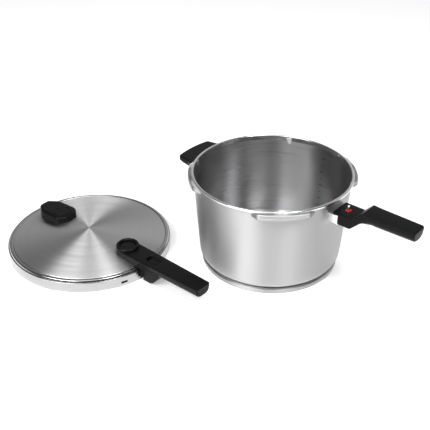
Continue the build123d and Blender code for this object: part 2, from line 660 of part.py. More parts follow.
with BuildPart() as indicator_cap:
    with BuildSketch(lid_section()):
        with BuildLine():
            ThreePointArc((DIAL_R, 35.0), (DIAL_R + 6.0, 34.8), (DIAL_R + CAP_R, 34.2))
            Polyline(
                (DIAL_R + CAP_R, 34.2), (DIAL_R + CAP_R, 32.4), (DIAL_R + 10.4, 32.4),
                (DIAL_R + 10.4, 33.2), (DIAL_R, 33.2), (DIAL_R, 35.0),
            )
        make_face()
    revolve(axis=Axis((LID_X + DIAL_R, LID_Y, 0), (0, 0, 1)))
save(indicator_cap.part, "indicator_cap")

with BuildPart() as valve_stem:
    with BuildSketch(lid_section()):
        Polygon(
            (DIAL_R, 10.2), (DIAL_R + 3.6, 10.2), (DIAL_R + 3.6, 13.0), (DIAL_R + STEM_R, 13.0),
            (DIAL_R + STEM_R, 33.2), (DIAL_R, 33.2),
            align=None,
        )
    revolve(axis=Axis((LID_X + DIAL_R, LID_Y, 0), (0, 0, 1)))
save(valve_stem.part, "valve_stem")

with BuildPart() as valve_body:
    with BuildSketch(lid_section()):
        Polygon(
            (DIAL_R + 2.4, 8.0), (DIAL_R + VALVE_BORE_R, 8.0), (DIAL_R + VALVE_BORE_R, 16.6),
            (DIAL_R + 10.6, 16.6), (DIAL_R + 10.6, 18.4), (DIAL_R + VALVE_BORE_R, 18.4),
            (DIAL_R + VALVE_BORE_R, 29.2), (DIAL_R + 4.0, 29.2), (DIAL_R + 4.0, 10.0),
            (DIAL_R + 2.4, 10.0),
            align=None,
        )
    revolve(axis=Axis((LID_X + DIAL_R, LID_Y, 0), (0, 0, 1)))
save(valve_body.part, "valve_body")

with BuildPart() as valve_seal:
    with BuildSketch(lid_plane(18.4)):
        with Locations((DIAL_R, 0)):
            Circle(10.0)
            Circle(VALVE_BORE_R, mode=Mode.SUBTRACT)
    extrude(amount=VALVE_FLOOR - BOSS_SHEET - 18.4)
save(valve_seal.part, "valve_seal")

with BuildPart() as valve_nut:
    with BuildSketch(lid_plane(25.9)):
        with Locations((DIAL_R, 0)):
            RegularPolygon(10.2, 6)
            Circle(VALVE_BORE_R, mode=Mode.SUBTRACT)
    extrude(amount=2.8)
save(valve_nut.part, "valve_nut")

with BuildPart() as valve_collar:
    with BuildSketch(lid_plane(26.6)):
        with Locations((DIAL_R, 0)):
            Circle(4.0)
            Circle(1.5, mode=Mode.SUBTRACT)
    extrude(amount=1.6)
save(valve_collar.part, "valve_collar")

with BuildPart() as valve_spring:
    coil_spring(lid_plane(13.4).move(Location((DIAL_R, 0, 0))), 12.8, 2.7, 0.7, 6)
save(valve_spring.part, "valve_spring")

# ==================================================== thumb slide and latch
SLIDE_X = 137.3
SLIDE_FLOOR = 28.2
SLIDE_LENGTH = 16.0
SLIDE_HALF = 5.8
with BuildPart() as thumb_slide:
    with BuildSketch(lid_plane(24.6)):
        with Locations((SLIDE_X, 0)):
            Rectangle(10.0, 6.0)
    extrude(amount=4.0)
    with BuildSketch(lid_plane(SLIDE_FLOOR)) as pad:
        with Locations((SLIDE_X, 0)):
            Rectangle(SLIDE_LENGTH, 2 * SLIDE_HALF)
        fillet(pad.vertices().group_by(Axis.X)[0], 4.0)
        fillet(pad.vertices().group_by(Axis.X)[-1], 0.8)
    extrude(amount=COVER_TOP - SLIDE_FLOOR)
    chamfer(thumb_slide.edges().group_by(Axis.Z)[-1], 0.4)
save(thumb_slide.part, "thumb_slide")

# Steel latch: a flat bar in the tray, a spring tab and a hook behind the pin.
with BuildPart() as latch:
    with BuildSketch(lid_plane(23.0)):
        with Locations((132.5, 0)):
            Rectangle(25.0, 15.0)
    extrude(amount=1.6)
    with BuildSketch(lid_plane(21.4)):
        with Locations((120.8, 0)):
            Rectangle(1.6, 8.0)
    extrude(amount=5.6)
    with BuildSketch(lid_plane(LID_BLOCK_FLOOR + 0.6)):
        with Locations((126.7, HOOK_Y)):
            Rectangle(1.9, 4.2)
    extrude(amount=23.0 - LID_BLOCK_FLOOR)
save(latch.part, "latch")

with BuildPart() as latch_spring:
    coil_spring(
        Plane(origin=(LID_X + 112.4, LID_Y, 24.0), x_dir=(0, 1, 0), z_dir=(1, 0, 0)), 7.2, 2.3, 0.5, 4
    )
save(latch_spring.part, "latch_spring")

# ======================================= counter grip over the safety valve
GRIP_HALF = 21.0
COUNTER_TOP = 38.0
COUNTER_FLOOR = 19.0         # inside the dome, before the dome is cut away
RAISED_RING_X = 55.0
RING_HEIGHT = 0.9
with BuildPart() as counter_grip:
    with BuildSketch(lid_plane(COUNTER_FLOOR, SAFETY_AZIMUTH)) as octagon:
        with BuildLine():
            Polyline(
                (36.0, -11.0), (48.0, -GRIP_HALF), (82.0, -GRIP_HALF + 1.5), (96.5, -9.0),
                (96.5, 9.0), (82.0, GRIP_HALF - 1.5), (48.0, GRIP_HALF), (36.0, 11.0),
            )
            ThreePointArc((36.0, 11.0), (34.2, 0), (36.0, -11.0))
        make_face()
        fillet(octagon.vertices(), 4.0)
    extrude(amount=COUNTER_TOP - COUNTER_FLOOR)
    chamfer(counter_grip.edges().group_by(Axis.Z)[-1], 2.6, 2.6)
    with BuildSketch(lid_plane(COUNTER_TOP, SAFETY_AZIMUTH)):
        with Locations((RAISED_RING_X, 0)):
            Circle(13.5)
    extrude(amount=RING_HEIGHT)
    with BuildSketch(lid_plane(COUNTER_TOP, SAFETY_AZIMUTH)):
        with Locations((RAISED_RING_X, 0)):
            Circle(10.5)
    extrude(amount=RING_HEIGHT, mode=Mode.SUBTRACT)
    cut_lid_dome(0.1)
    with BuildSketch(lid_plane(15, SAFETY_AZIMUTH)):
        with Locations((SAFETY_R, 0)):
            Circle(9.0)
    extrude(amount=20.5, mode=Mode.SUBTRACT)
    with BuildSketch(lid_plane(15, SAFETY_AZIMUTH)):
        with Locations((GRIP_SCREW_RADII[0], 0), (GRIP_SCREW_RADII[1], 0)):
            Circle(SCREW_BORE_R)
    extrude(amount=20, mode=Mode.SUBTRACT)
save(counter_grip.part, "counter_grip")

with BuildPart() as grip_screws:
    for radius in GRIP_SCREW_RADII:
        under = dome_z(radius + 3.6, -LID_SHEET) - 0.1
        spot = Location((radius * cos(GRIP_AZIMUTH), radius * sin(GRIP_AZIMUTH), 0))
        pan_screw(lid_plane(under).move(spot), 3.4, 2.2, 2.0, 34.6 - under)
save(grip_screws.part, "grip_screws")

SAFETY_AXIS = Axis(lid_plane(0, SAFETY_AZIMUTH).from_local_coords((SAFETY_R, 0, 0)), (0, 0, 1))
BALL_R = 2.5
BALL_Z = 14.0
with BuildPart() as safety_body:
    with BuildSketch(lid_section(SAFETY_AZIMUTH)):
        Polygon(
            (SAFETY_R + 1.7, 9.6), (SAFETY_R + SAFETY_BORE_R, 9.6), (SAFETY_R + SAFETY_BORE_R, 19.2),
            (SAFETY_R + 8.2, 19.2), (SAFETY_R + 8.2, 20.8), (SAFETY_R + SAFETY_BORE_R, 20.8),
            (SAFETY_R + SAFETY_BORE_R, 31.0), (SAFETY_R + 3.7, 31.0), (SAFETY_R + 3.7, 11.2),
            (SAFETY_R + 1.7, 11.2),
            align=None,
        )
    revolve(axis=SAFETY_AXIS)
save(safety_body.part, "safety_body")

with BuildPart() as safety_seal:
    with BuildSketch(lid_plane(20.8, SAFETY_AZIMUTH)):
        with Locations((SAFETY_R, 0)):
            Circle(7.8)
            Circle(SAFETY_BORE_R, mode=Mode.SUBTRACT)
    extrude(amount=SAFETY_FLOOR - BOSS_SHEET - 20.8)
save(safety_seal.part, "safety_seal")

with BuildPart() as safety_nut:
    with BuildSketch(lid_plane(SAFETY_FLOOR, SAFETY_AZIMUTH)):
        with Locations((SAFETY_R, 0)):
            RegularPolygon(8.3, 6)
            Circle(SAFETY_BORE_R, mode=Mode.SUBTRACT)
    extrude(amount=2.8)
save(safety_nut.part, "safety_nut")

with BuildPart() as safety_ball:
    with Locations(SAFETY_AXIS.position + Vector(0, 0, BALL_Z)):
        Sphere(BALL_R)
save(safety_ball.part, "safety_ball")

with BuildPart() as safety_piston:
    with BuildSketch(lid_plane(16.9, SAFETY_AZIMUTH)):
        with Locations((SAFETY_R, 0)):
            Circle(3.6)
    extrude(amount=2.6)
    with BuildSketch(lid_plane(16.9, SAFETY_AZIMUTH)):
        with Locations((SAFETY_R, 0)):
            Circle(1.1)
    extrude(amount=9.0)
save(safety_piston.part, "safety_piston")

with BuildPart() as safety_spring:
    coil_spring(Plane(origin=SAFETY_AXIS.position + Vector(0, 0, 19.9)), 8.8, 2.6, 0.7, 5)
save(safety_spring.part, "safety_spring")

with BuildPart() as safety_plug:
    with BuildSketch(lid_plane(29.1, SAFETY_AZIMUTH)):
        with Locations((SAFETY_R, 0)):
            Circle(3.7)
            Circle(1.3, mode=Mode.SUBTRACT)
    extrude(amount=1.9)
save(safety_plug.part, "safety_plug")

print("lid centre", round(LID_X, 2), round(LID_Y, 2))
print("safety valve axis", SAFETY_AXIS.position)
print("dome radius", round(DOME_R, 1), "taper in degrees", round(degrees(WALL_TAPER), 2))
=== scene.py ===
# %% [markdown]
# # A stovetop pressure cooker
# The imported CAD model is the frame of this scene. It holds every piece of the
# cooker at its true size, in metres, on the body that it moves with. Here the
# pieces that show get smooth surfaces and real finishes: polished and brushed
# steel, black moulded plastic and silicone. Positions are read from the CAD
# boxes, so nothing has to be fitted by eye.

# %% Load the frame
import json
from math import atan2, cos, pi, radians, sin, tan

import bmesh
import bpy
import numpy as np
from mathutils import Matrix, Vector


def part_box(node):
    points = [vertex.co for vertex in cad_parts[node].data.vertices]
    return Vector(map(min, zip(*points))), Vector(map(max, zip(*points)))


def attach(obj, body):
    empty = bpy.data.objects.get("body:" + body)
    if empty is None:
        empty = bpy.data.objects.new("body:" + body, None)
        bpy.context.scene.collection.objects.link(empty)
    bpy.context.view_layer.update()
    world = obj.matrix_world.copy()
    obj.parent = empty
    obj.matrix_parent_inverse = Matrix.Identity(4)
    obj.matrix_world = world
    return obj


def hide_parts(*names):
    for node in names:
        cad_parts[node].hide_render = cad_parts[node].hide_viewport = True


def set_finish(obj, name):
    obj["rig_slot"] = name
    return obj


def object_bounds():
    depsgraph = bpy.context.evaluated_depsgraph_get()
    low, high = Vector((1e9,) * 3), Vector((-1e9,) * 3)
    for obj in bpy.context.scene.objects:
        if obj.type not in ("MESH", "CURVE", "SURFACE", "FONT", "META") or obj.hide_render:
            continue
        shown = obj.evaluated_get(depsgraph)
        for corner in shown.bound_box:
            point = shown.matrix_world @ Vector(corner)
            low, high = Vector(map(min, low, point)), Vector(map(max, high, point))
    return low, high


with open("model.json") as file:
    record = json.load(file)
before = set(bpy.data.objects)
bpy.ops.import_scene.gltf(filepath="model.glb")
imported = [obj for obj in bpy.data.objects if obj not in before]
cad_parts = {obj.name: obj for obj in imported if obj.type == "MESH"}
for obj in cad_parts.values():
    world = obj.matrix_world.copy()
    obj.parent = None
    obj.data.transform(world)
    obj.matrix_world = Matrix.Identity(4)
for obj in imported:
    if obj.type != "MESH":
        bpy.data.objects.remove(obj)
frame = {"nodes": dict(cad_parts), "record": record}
cad_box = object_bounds()
nodes = frame["nodes"]
print(len(nodes), "CAD nodes, box", [round(v, 3) for v in (*cad_box[0], *cad_box[1])])

# %% [markdown]
# Makers of cookware think in millimetres, and so do the numbers below. Each
# box is read from the CAD once and turned into millimetres. The pot's axis is
# the frame's Z axis. The lid lies beside the pot, so its axis is the middle of
# its own box.


# %% Boxes in millimetres
def box_mm(node):
    """The lowest and highest corner of a CAD node, in millimetres."""
    low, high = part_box(node)
    return np.array(low) * 1000, np.array(high) * 1000


pot_low, pot_high = box_mm("pot_shell")
base_low, base_high = box_mm("base_cap")
lid_low, lid_high = box_mm("lid_shell")
lid_axis = (lid_low + lid_high)[:2] / 2
RIM_TOP = pot_high[2]
FLOOR = pot_low[2]
LUG_R = 118.0
DOME_TOP = lid_high[2]
SKIRT_R = (lid_high[0] - lid_low[0]) / 2
print("rim", round(RIM_TOP, 1), "lid axis", lid_axis.round(2), "skirt radius", round(SKIRT_R, 1))

# %% [markdown]
# Almost every piece here is a skin of rows: a row is a closed ring of points,
# and the rows follow each other from one end of the piece to the other. A row
# that shrinks to a single point closes an end, like the pole of a globe. One
# function turns such an array into a mesh. It drops the spare points of the
# poles, and it turns the faces outwards by the sign of the enclosed volume.


# %% From rows of points to a mesh
def skin(name, rows, smooth_below=32, face_slot=None, loop=False):
    """Mesh of the closed surface through rows, an array (rows, points, xyz) in mm.

    Face (i, j) has the corners (i, j), (i, j+1), (i+1, j+1), (i+1, j), and the
    last point of a row joins its first. With loop the last row joins the first
    one too, as in a ring. face_slot(centres) gives the material number of each
    face from the face centres."""
    count, around, _ = rows.shape
    index = np.arange(count * around).reshape(count, around)
    pole = np.ptp(rows, axis=1).max(axis=1) < 1e-6
    index[pole] = index[pole, :1]
    there, pole_there = np.roll(index, -1, 0), np.roll(pole, -1)
    corners = np.stack([index, np.roll(index, -1, 1), np.roll(there, -1, 1), there], -1)
    strips = slice(None) if loop else slice(0, -1)
    corners, pole, pole_there = corners[strips], pole[strips], pole_there[strips]
    quads = corners[~pole & ~pole_there].reshape(-1, 4)
    from_pole = corners[pole & ~pole_there][..., [0, 2, 3]].reshape(-1, 3)
    to_pole = corners[~pole & pole_there][..., [0, 1, 2]].reshape(-1, 3)
    points = rows.reshape(-1, 3) / 1000
    triangles = np.concatenate([quads[:, [0, 1, 2]], quads[:, [0, 2, 3]], from_pole, to_pole])
    a, b, c = (points[triangles[:, k]] for k in range(3))
    turned = np.einsum("ij,ij->i", a, np.cross(b, c)).sum() < 0
    every_corner = np.concatenate([quads.ravel(), from_pole.ravel(), to_pole.ravel()])
    used, renumbered = np.unique(every_corner, return_inverse=True)
    parts = np.split(renumbered, np.cumsum([quads.size, from_pole.size]))
    faces = [part.reshape(-1, sides) for part, sides in zip(parts, (4, 3, 3))]
    faces = [f[:, ::-1] if turned else f for f in faces]
    mesh = bpy.data.meshes.new(name)
    mesh.from_pydata(points[used].tolist(), [], [face for group in faces for face in group.tolist()])
    if face_slot is not None:
        centres = np.concatenate([points[used][f].mean(axis=1) for f in faces]) * 1000
        mesh.polygons.foreach_set("material_index", face_slot(centres).astype(np.int32))
    mesh.polygons.foreach_set("use_smooth", np.ones(len(mesh.polygons), bool))
    mesh.update()
    mesh.set_sharp_from_angle(angle=radians(smooth_below))
    return mesh


made_pieces = {}


def piece(name, mesh, body, slot, *stands_for):
    """Puts a mesh into the scene as a piece of the cooker, riding on a body."""
    thing = bpy.data.objects.new(name, mesh)
    bpy.context.scene.collection.objects.link(thing)
    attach(thing, body)
    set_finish(thing, slot)
    if stands_for:
        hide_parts(*stands_for)
    made_pieces[name] = thing
    print(name, len(mesh.polygons), "faces, rides on", body)
    return thing


# %% [markdown]
# Sheet steel and moulded plastic have no knife edges: every corner is a small
# arc. The next function is the draughtsman's fillet. It takes the corners of a
# line and a radius for each of them, and gives the points of the line with
# those arcs in it. Everything else here is drawn with it.


# %% A line with rounded corners
def rounded(corners, radii, closed=False, steps=7):
    """Points of a line through the corners, with an arc of the given radius at each.

    An arc starts r * tan(turn / 2) before its corner and ends as far after it."""
    corners = np.asarray(corners, float)
    radii = np.broadcast_to(radii, len(corners))
    points = []
    for k, (corner, r) in enumerate(zip(corners, radii)):
        if not closed and k in (0, len(corners) - 1) or r <= 0:
            points.append(corner[None])
            continue
        back, ahead = corners[k - 1] - corner, corners[(k + 1) % len(corners)] - corner
        u, v = -back / np.linalg.norm(back), ahead / np.linalg.norm(ahead)
        cross = u[0] * v[1] - u[1] * v[0]
        turn = atan2(cross, u @ v)
        reach = min(r * tan(abs(turn) / 2), 0.49 * min(np.linalg.norm(back), np.linalg.norm(ahead)))
        r = reach / tan(abs(turn) / 2)
        side = np.array([-u[1], u[0]]) * np.sign(turn)
        centre = corner - u * reach + side * r
        angles = turn * np.linspace(0, 1, steps)[:, None]
        arm = -side * r
        points.append(centre + np.cos(angles) * arm + np.sin(angles) * np.array([-arm[1], arm[0]]))
    return np.concatenate(points)


def spaced(line, longest, closed=False):
    """The same line with extra points, so that no span is longer than longest."""
    line = np.vstack([line, line[:1]]) if closed else line
    lengths = np.linalg.norm(np.diff(line, axis=0), axis=1)
    parts = np.maximum(1, np.ceil(lengths / longest)).astype(int)
    place = np.concatenate([k + np.arange(n) / n for k, n in enumerate(parts)])
    place = place if closed else np.append(place, len(line) - 1)
    return np.stack([np.interp(place, np.arange(len(line)), line[:, k]) for k in (0, 1)], -1)


def eased(value):
    """0 below 0, 1 above 1, and a soft S between them."""
    t = np.clip(value, 0, 1)
    return t * t * (3 - 2 * t)


def turned(profile, columns=288, axis=(0.0, 0.0)):
    """Rows of a turned piece: x = r cos a, y = r sin a, z = z about an upright axis.
    columns is how many azimuths there are, or the azimuths themselves."""
    a = np.linspace(0, 2 * pi, columns, endpoint=False) if isinstance(columns, int) else columns
    r, z = profile[:, :1], profile[:, 1:]
    return np.stack([axis[0] + r * np.cos(a), axis[1] + r * np.sin(a), z + 0 * a], -1)


def with_ends(rows):
    """The same rows, with a pole at the middle of the first and of the last one."""
    first, last = (np.broadcast_to(rows[k].mean(0), rows[k].shape)[None] for k in (0, -1))
    return np.concatenate([first, rows, last])


# %% [markdown]
# ## The pot
# The pot is one drawn sheet: a flat bottom, a large corner, a wall that opens
# by four degrees, and a bead rolled round the mouth. A turned profile gives
# all of that at once, outside and inside in one closed skin. The two sides
# have different finishes, so the faces of the inside get a second material.

# %% Pot wall
FOOT_R = 101.0
BEAD_R = 113.4
MOUTH_R = 109.8
WALL = 0.9
TAPER = (MOUTH_R + WALL - FOOT_R) / (RIM_TOP - FLOOR)


def wall_r(z):
    """Outside radius of the wall at a height."""
    return FOOT_R + (z - FLOOR) * TAPER


pot_profile = spaced(rounded(
    [(0, FLOOR), (wall_r(FLOOR), FLOOR), (wall_r(136), 136), (BEAD_R, 137.2), (BEAD_R, RIM_TOP),
     (MOUTH_R, RIM_TOP), (wall_r(FLOOR) - WALL, FLOOR + 1.2), (0, FLOOR + 1.2)],
    [0, 14, 1.5, 1.1, 1.7, 1.1, 13.1, 0], steps=12), 6.0)


def inside_faces(centres):
    """0 for faces on the outside of the pot, 1 on the inside, 2 on the bead. The inside's steel is darker as
    painted shade, the bead's lighter as a painted highlight.
    """
    r = np.hypot(centres[:, 0], centres[:, 1])
    inside = (r < wall_r(centres[:, 2]) - WALL / 2) & (centres[:, 2] > FLOOR + 0.6)
    return np.where(centres[:, 2] > 136.6, 2, inside)


wall_mesh = skin("pot_wall", turned(pot_profile), face_slot=inside_faces)
pot_wall = piece("pot_wall", wall_mesh, "pot", "polished_steel", "pot_shell")

# %% [markdown]
# The lid locks under four lips that stand out below the bead. Each lip is a
# strip of sheet with a groove pressed round it. Its section is carried along
# an arc about the pot's axis, and near the ends it dives back into the wall,
# as a pressed lip does.

# %% Bayonet lips
LIP_TOP = RIM_TOP - 2.2
LIP_SPAN = 46.0
LIP_ROOT = 108.5
lip_section = rounded(
    [(110.0, LIP_TOP), (LUG_R, LIP_TOP), (LUG_R, LIP_TOP - 3.6), (LUG_R - 0.35, LIP_TOP - 4.1),
     (LUG_R - 0.35, LIP_TOP - 4.8), (LUG_R, LIP_TOP - 5.3), (LUG_R - 0.2, LIP_TOP - 8.2),
     (LUG_R - 4.5, LIP_TOP - 9.4), (110.0, LIP_TOP - 9.4)],
    [0, 2.2, 0.6, 0.5, 0.5, 0.6, 2.2, 1.5, 0], closed=True, steps=6)


def lip(middle):
    """Rows of one lip: the section at azimuths across its span, drawn in at both ends."""
    share = np.linspace(-1, 1, 61)
    azimuth = np.radians(middle + share * LIP_SPAN / 2)[:, None]
    ease = eased((1 - abs(share)) / 0.32)[:, None]
    r = LIP_ROOT + (lip_section[:, 0] - LIP_ROOT) * (0.12 + 0.88 * ease)
    z = lip_section[:, 1] + 0 * azimuth
    return with_ends(np.stack([r * np.cos(azimuth), r * np.sin(azimuth), z], -1))


for number, middle in enumerate((45, 135, 225, 315), 1):
    piece(f"bayonet_lip_{number}", skin(f"bayonet_lip_{number}", lip(middle)), "pot", "polished_steel")

# %% [markdown]
# The sandwich base is closed by a pressed steel cap. Its edge stops half a
# millimetre under the pot, and the shadow in that gap is the dark line round
# the foot. The cap is a shallow cup with a wall of its own.

# %% Base cap
BASE_R = (base_high[0] - base_low[0]) / 2
cap_top = base_high[2]
cap_profile = rounded(
    [(0, 0), (BASE_R, 0), (BASE_R, cap_top), (BASE_R - 3, cap_top), (BASE_R - 3, 0.8), (0, 0.8)],
    [0, 2.4, 0.5, 0, 0, 0], steps=10)
piece("base_pressing", skin("base_pressing", turned(cap_profile)), "pot", "polished_steel", "base_cap")

# %% [markdown]
# ## The moulded handles
# A handle is a loft: upright sections, one after another along its length.
# Every section is a rectangle with its own half width, floor, top and corner
# radii. Those six sizes are smooth curves along the handle, drawn with the
# same rounded line as before, so the slanted step between block and grip gets
# its soft bends without any sculpting.


# %% Sections along a handle
def sections(x, half, floor, top, low_r, top_r, steps=9):
    """Rows of rounded rectangles across x. All arguments are arrays along the handle.

    Corner k is centred at (half - r, edge - r) and swept through a quarter turn."""
    quarter = np.linspace(0, pi / 2, steps)
    tall = top - floor
    top_r = np.minimum(top_r, 0.49 * tall)
    low_r = np.minimum(low_r, 0.98 * tall - top_r)
    ring_y, ring_z = [], []
    corners = ((1, -1, low_r, -pi / 2), (1, 1, top_r, 0), (-1, 1, top_r, pi / 2), (-1, -1, low_r, pi))
    for sign_y, sign_z, r, start in corners:
        r = np.minimum(r, 0.98 * half)[:, None]
        edge = (floor if sign_z < 0 else top)[:, None]
        ring_y.append(sign_y * (half[:, None] - r) + r * np.cos(start + quarter))
        ring_z.append(edge - sign_z * r + r * np.sin(start + quarter))
    y, z = np.concatenate(ring_y, 1), np.concatenate(ring_z, 1)
    return np.stack([x[:, None] + 0 * y, y, z], -1)


def along(x, corners, radii, steps=12):
    """Height of a rounded line at each x."""
    line = rounded(corners, radii, steps=steps)
    return np.interp(x, line[:, 0], line[:, 1])


def tip(x, end, radius):
    """How far a surface is drawn in near the end: a quarter circle of the radius."""
    t = np.clip((x - (end - radius)) / radius, 0, 1)
    return radius * (1 - np.sqrt(1 - t**2))


# %% [markdown]
# The pot's long handle starts as a low block in a steel cup, steps up and goes
# on as a straight grip with a flat top and round flanks. The block carries the
# lock pin.

# %% Pot handle
handle_low, handle_high = box_mm("pot_handle")
GRIP_END = handle_high[0]
BLOCK_TOP = 125.0
BLOCK_FLOOR = handle_low[2]
GRIP_TOP = handle_high[2]
GRIP_FLOOR = GRIP_TOP - 16
END_R = 2.6
x = np.concatenate([
    np.linspace(111.9, 112.6, 3), np.linspace(113.4, 136, 8), np.linspace(137, 176, 72),
    np.linspace(178, 223, 16), GRIP_END - END_R + END_R * np.sin(np.linspace(0.05, pi / 2, 14))])
low_line = [(100, BLOCK_FLOOR), (138.5, BLOCK_FLOOR), (153, 123), (172, GRIP_FLOOR), (260, GRIP_FLOOR)]
low_edge = along(x, low_line, [0, 4, 9, 14, 0])
top_edge = along(x, [(100, BLOCK_TOP), (141, BLOCK_TOP), (153.5, GRIP_TOP), (260, GRIP_TOP)], [0, 3, 3, 0])
width = along(x, [(100, 16.5), (140, 16.5), (166, 15), (GRIP_END, 13.4), (GRIP_END + 20, 13)], [0, 20, 20, 0, 0])
soft = eased((x - 146) / 24)
draw_in = tip(x, GRIP_END, END_R)
grip_rows = sections(
    x, width - draw_in, low_edge + draw_in, top_edge - draw_in, 1.0 + 10.5 * soft, 0.9 + 0.7 * soft)
piece("pot_grip", skin("pot_grip", with_ends(grip_rows), 40), "pot", "handle_plastic", "pot_handle")

# %% [markdown]
# Between the wall and the block sits a cup of bright steel. It is the same
# loft, only its inner end follows the curve of the wall: every point of the
# first rows is pushed out to the wall's radius at its own height.

# %% Handle cup
cup_low, cup_high = box_mm("handle_cup")
x = np.concatenate([np.linspace(112.4, cup_high[0] - 0.5, 12), [cup_high[0] - 0.15, cup_high[0]]])
drawn = np.array([0.0] * 12 + [0.15, 0.5])
flat = np.ones_like(x)
cup_rows = sections(x, cup_high[1] - drawn, cup_low[2] + drawn, cup_high[2] * flat, 2.6 * flat, 0.5 * flat)


def wall_x(y, z):
    """X of a point just under the wall's outer surface, at a Y and a height near azimuth 0."""
    return np.sqrt(wall_r(z) ** 2 - y**2) - 0.3


share = np.linspace(1, 0, 12)[:, None]
on_wall = wall_x(cup_rows[0, :, 1], cup_rows[0, :, 2])
cup_rows[:12, :, 0] = cup_rows[:12, :, 0] * (1 - share) + on_wall * share
shrink = np.linspace(0, 0.9, 8)[:, None]
cap_y = cup_rows[0, :, 1] * shrink
cap_z = cup_rows[0, :, 2] * shrink + cup_rows[0, :, 2].mean() * (1 - shrink)
cup_end = np.stack([wall_x(cap_y, cap_z), cap_y, cap_z], -1)
cup_rows = np.concatenate([cup_end, cup_rows, with_ends(cup_rows)[-1:]])
piece("steel_cup", skin("steel_cup", cup_rows), "pot", "polished_steel", "handle_cup")

# %% [markdown]
# The lock pin and its red ring are turned parts. Seen from above, the pin's
# chamfer catches the light, so the profile keeps it.

# %% Lock pin and ring
pin_low, pin_high = box_mm("lock_pin")
pin_axis = (pin_low + pin_high)[:2] / 2
PIN_FOOT, PIN_TIP = pin_low[2], pin_high[2]
pin_line = rounded(
    [(0, PIN_FOOT), (3.4, PIN_FOOT), (3.4, PIN_FOOT + 1.4), (2, PIN_FOOT + 1.4), (2, PIN_TIP - 0.7),
     (1.3, PIN_TIP), (0, PIN_TIP)], [0, 0.2, 0.2, 0.2, 0.2, 0.2, 0], steps=5)
pin_mesh = skin("locking_pin", turned(pin_line, 48, pin_axis))
piece("locking_pin", pin_mesh, "lock_pin", "hardware_steel", "lock_pin")

ring_low, ring_high = box_mm("pin_ring")
t = np.linspace(0, 2 * pi, 24, endpoint=False)[:, None]
ring_section = np.hstack([3.2 + np.cos(t), (ring_low[2] + ring_high[2]) / 2 + np.sin(t)])
ring_mesh = skin("red_ring", turned(ring_section, 64, pin_axis), loop=True)
piece("red_ring", ring_mesh, "pot", "red_silicone", "pin_ring")

# %% [markdown]
# The helper handle is an ear with its plan drawn on the pot's axis. Pieces
# like it are pucks: one outline, repeated at several heights, drawn in a
# little where an edge is chamfered or rounded, and closed by rings that shrink
# to the middle. Each outline point moves along its own normal.


# %% Pucks
def outline_normals(plan):
    """Unit normals of a closed plan, pointing outwards, from its neighbours' chord."""
    chord = np.roll(plan, -1, 0) - np.roll(plan, 1, 0)
    normal = np.stack([chord[:, 1], -chord[:, 0]], -1) / np.linalg.norm(chord, axis=1)[:, None]
    area = (plan[:, 0] * np.roll(plan[:, 1], -1) - np.roll(plan[:, 0], -1) * plan[:, 1]).sum()
    return normal * np.sign(area)


def puck(plan, edge, middle=None, rings=5):
    """Rows of a puck. edge holds (inset, height) from the lowest face to the top one."""
    normal = outline_normals(plan)
    middle = plan.mean(0) if middle is None else np.asarray(middle, float)
    walls = np.stack([np.concatenate([plan - normal * d, np.full((len(plan), 1), z)], 1) for d, z in edge])
    closing = np.linspace(0, 1, rings)[:, None, None]

    def centre(row):
        return np.broadcast_to(np.append(middle, row[0, 2]), row.shape)

    low = centre(walls[0]) * (1 - closing[:-1]) + walls[0] * closing[:-1]
    top = centre(walls[-1]) * closing[1:] + walls[-1] * (1 - closing[1:])
    return np.concatenate([low, walls, top])


def quarter_edge(radius, z, steps=6):
    """(inset, height) points of a rounded top edge that ends at height z."""
    a = np.linspace(0, pi / 2, steps)
    return [(radius * (1 - cos(t)), z - radius * (1 - sin(t))) for t in a]


# %% Helper handle
ear_low, ear_high = box_mm("helper_handle")
EAR_HALF = ear_high[1]
EAR_REACH = -ear_low[0]
TIP_X, TIP_HALF = -148.5, 32.0
HUG_R = 112.6
bow_r = (TIP_HALF**2 + (EAR_REACH + TIP_X) ** 2) / (2 * (EAR_REACH + TIP_X))
bow = np.arcsin(TIP_HALF / bow_r) * np.linspace(-0.8, 0.8, 7)
bow_line = np.stack([bow_r - EAR_REACH - bow_r * np.cos(bow), bow_r * np.sin(bow)], -1)
hug = np.arcsin(EAR_HALF / HUG_R) * np.linspace(1, -1, 41)
hug_line = np.stack([-HUG_R * np.cos(hug), HUG_R * np.sin(hug)], -1)
side = np.array([(-113, -EAR_HALF), (-127, -EAR_HALF + 5), (TIP_X, -TIP_HALF)])
corners = np.concatenate([side, bow_line, side[::-1] * (1, -1), hug_line])
radii = np.array([2, 6, 4.5] + [60] * 7 + [4.5, 6, 2] + [0] * 41)
ear_plan = spaced(rounded(corners, radii, closed=True, steps=8), 2.0, closed=True)
EAR_TOP, EAR_FLOOR = ear_high[2], ear_low[2]
ear_edge = [(5.4, EAR_FLOOR), (4.9, EAR_FLOOR + 0.3), (0.4, EAR_FLOOR + 5.6), (0, EAR_FLOOR + 6.6)]
ear_edge += quarter_edge(1.5, EAR_TOP)
ear_rows = puck(ear_plan, ear_edge, middle=(-128, 0), rings=8)
piece("helper_ear", skin("helper_ear", ear_rows, 40), "pot", "handle_plastic", "helper_handle")

# %% [markdown]
# Some pieces need holes and pockets. A cut like that is quickest with a
# Boolean: the cutter is a puck with the plan of the hole. The result is
# applied at once and the cutter removed, so the finished piece is a plain
# mesh that keeps its face slots.


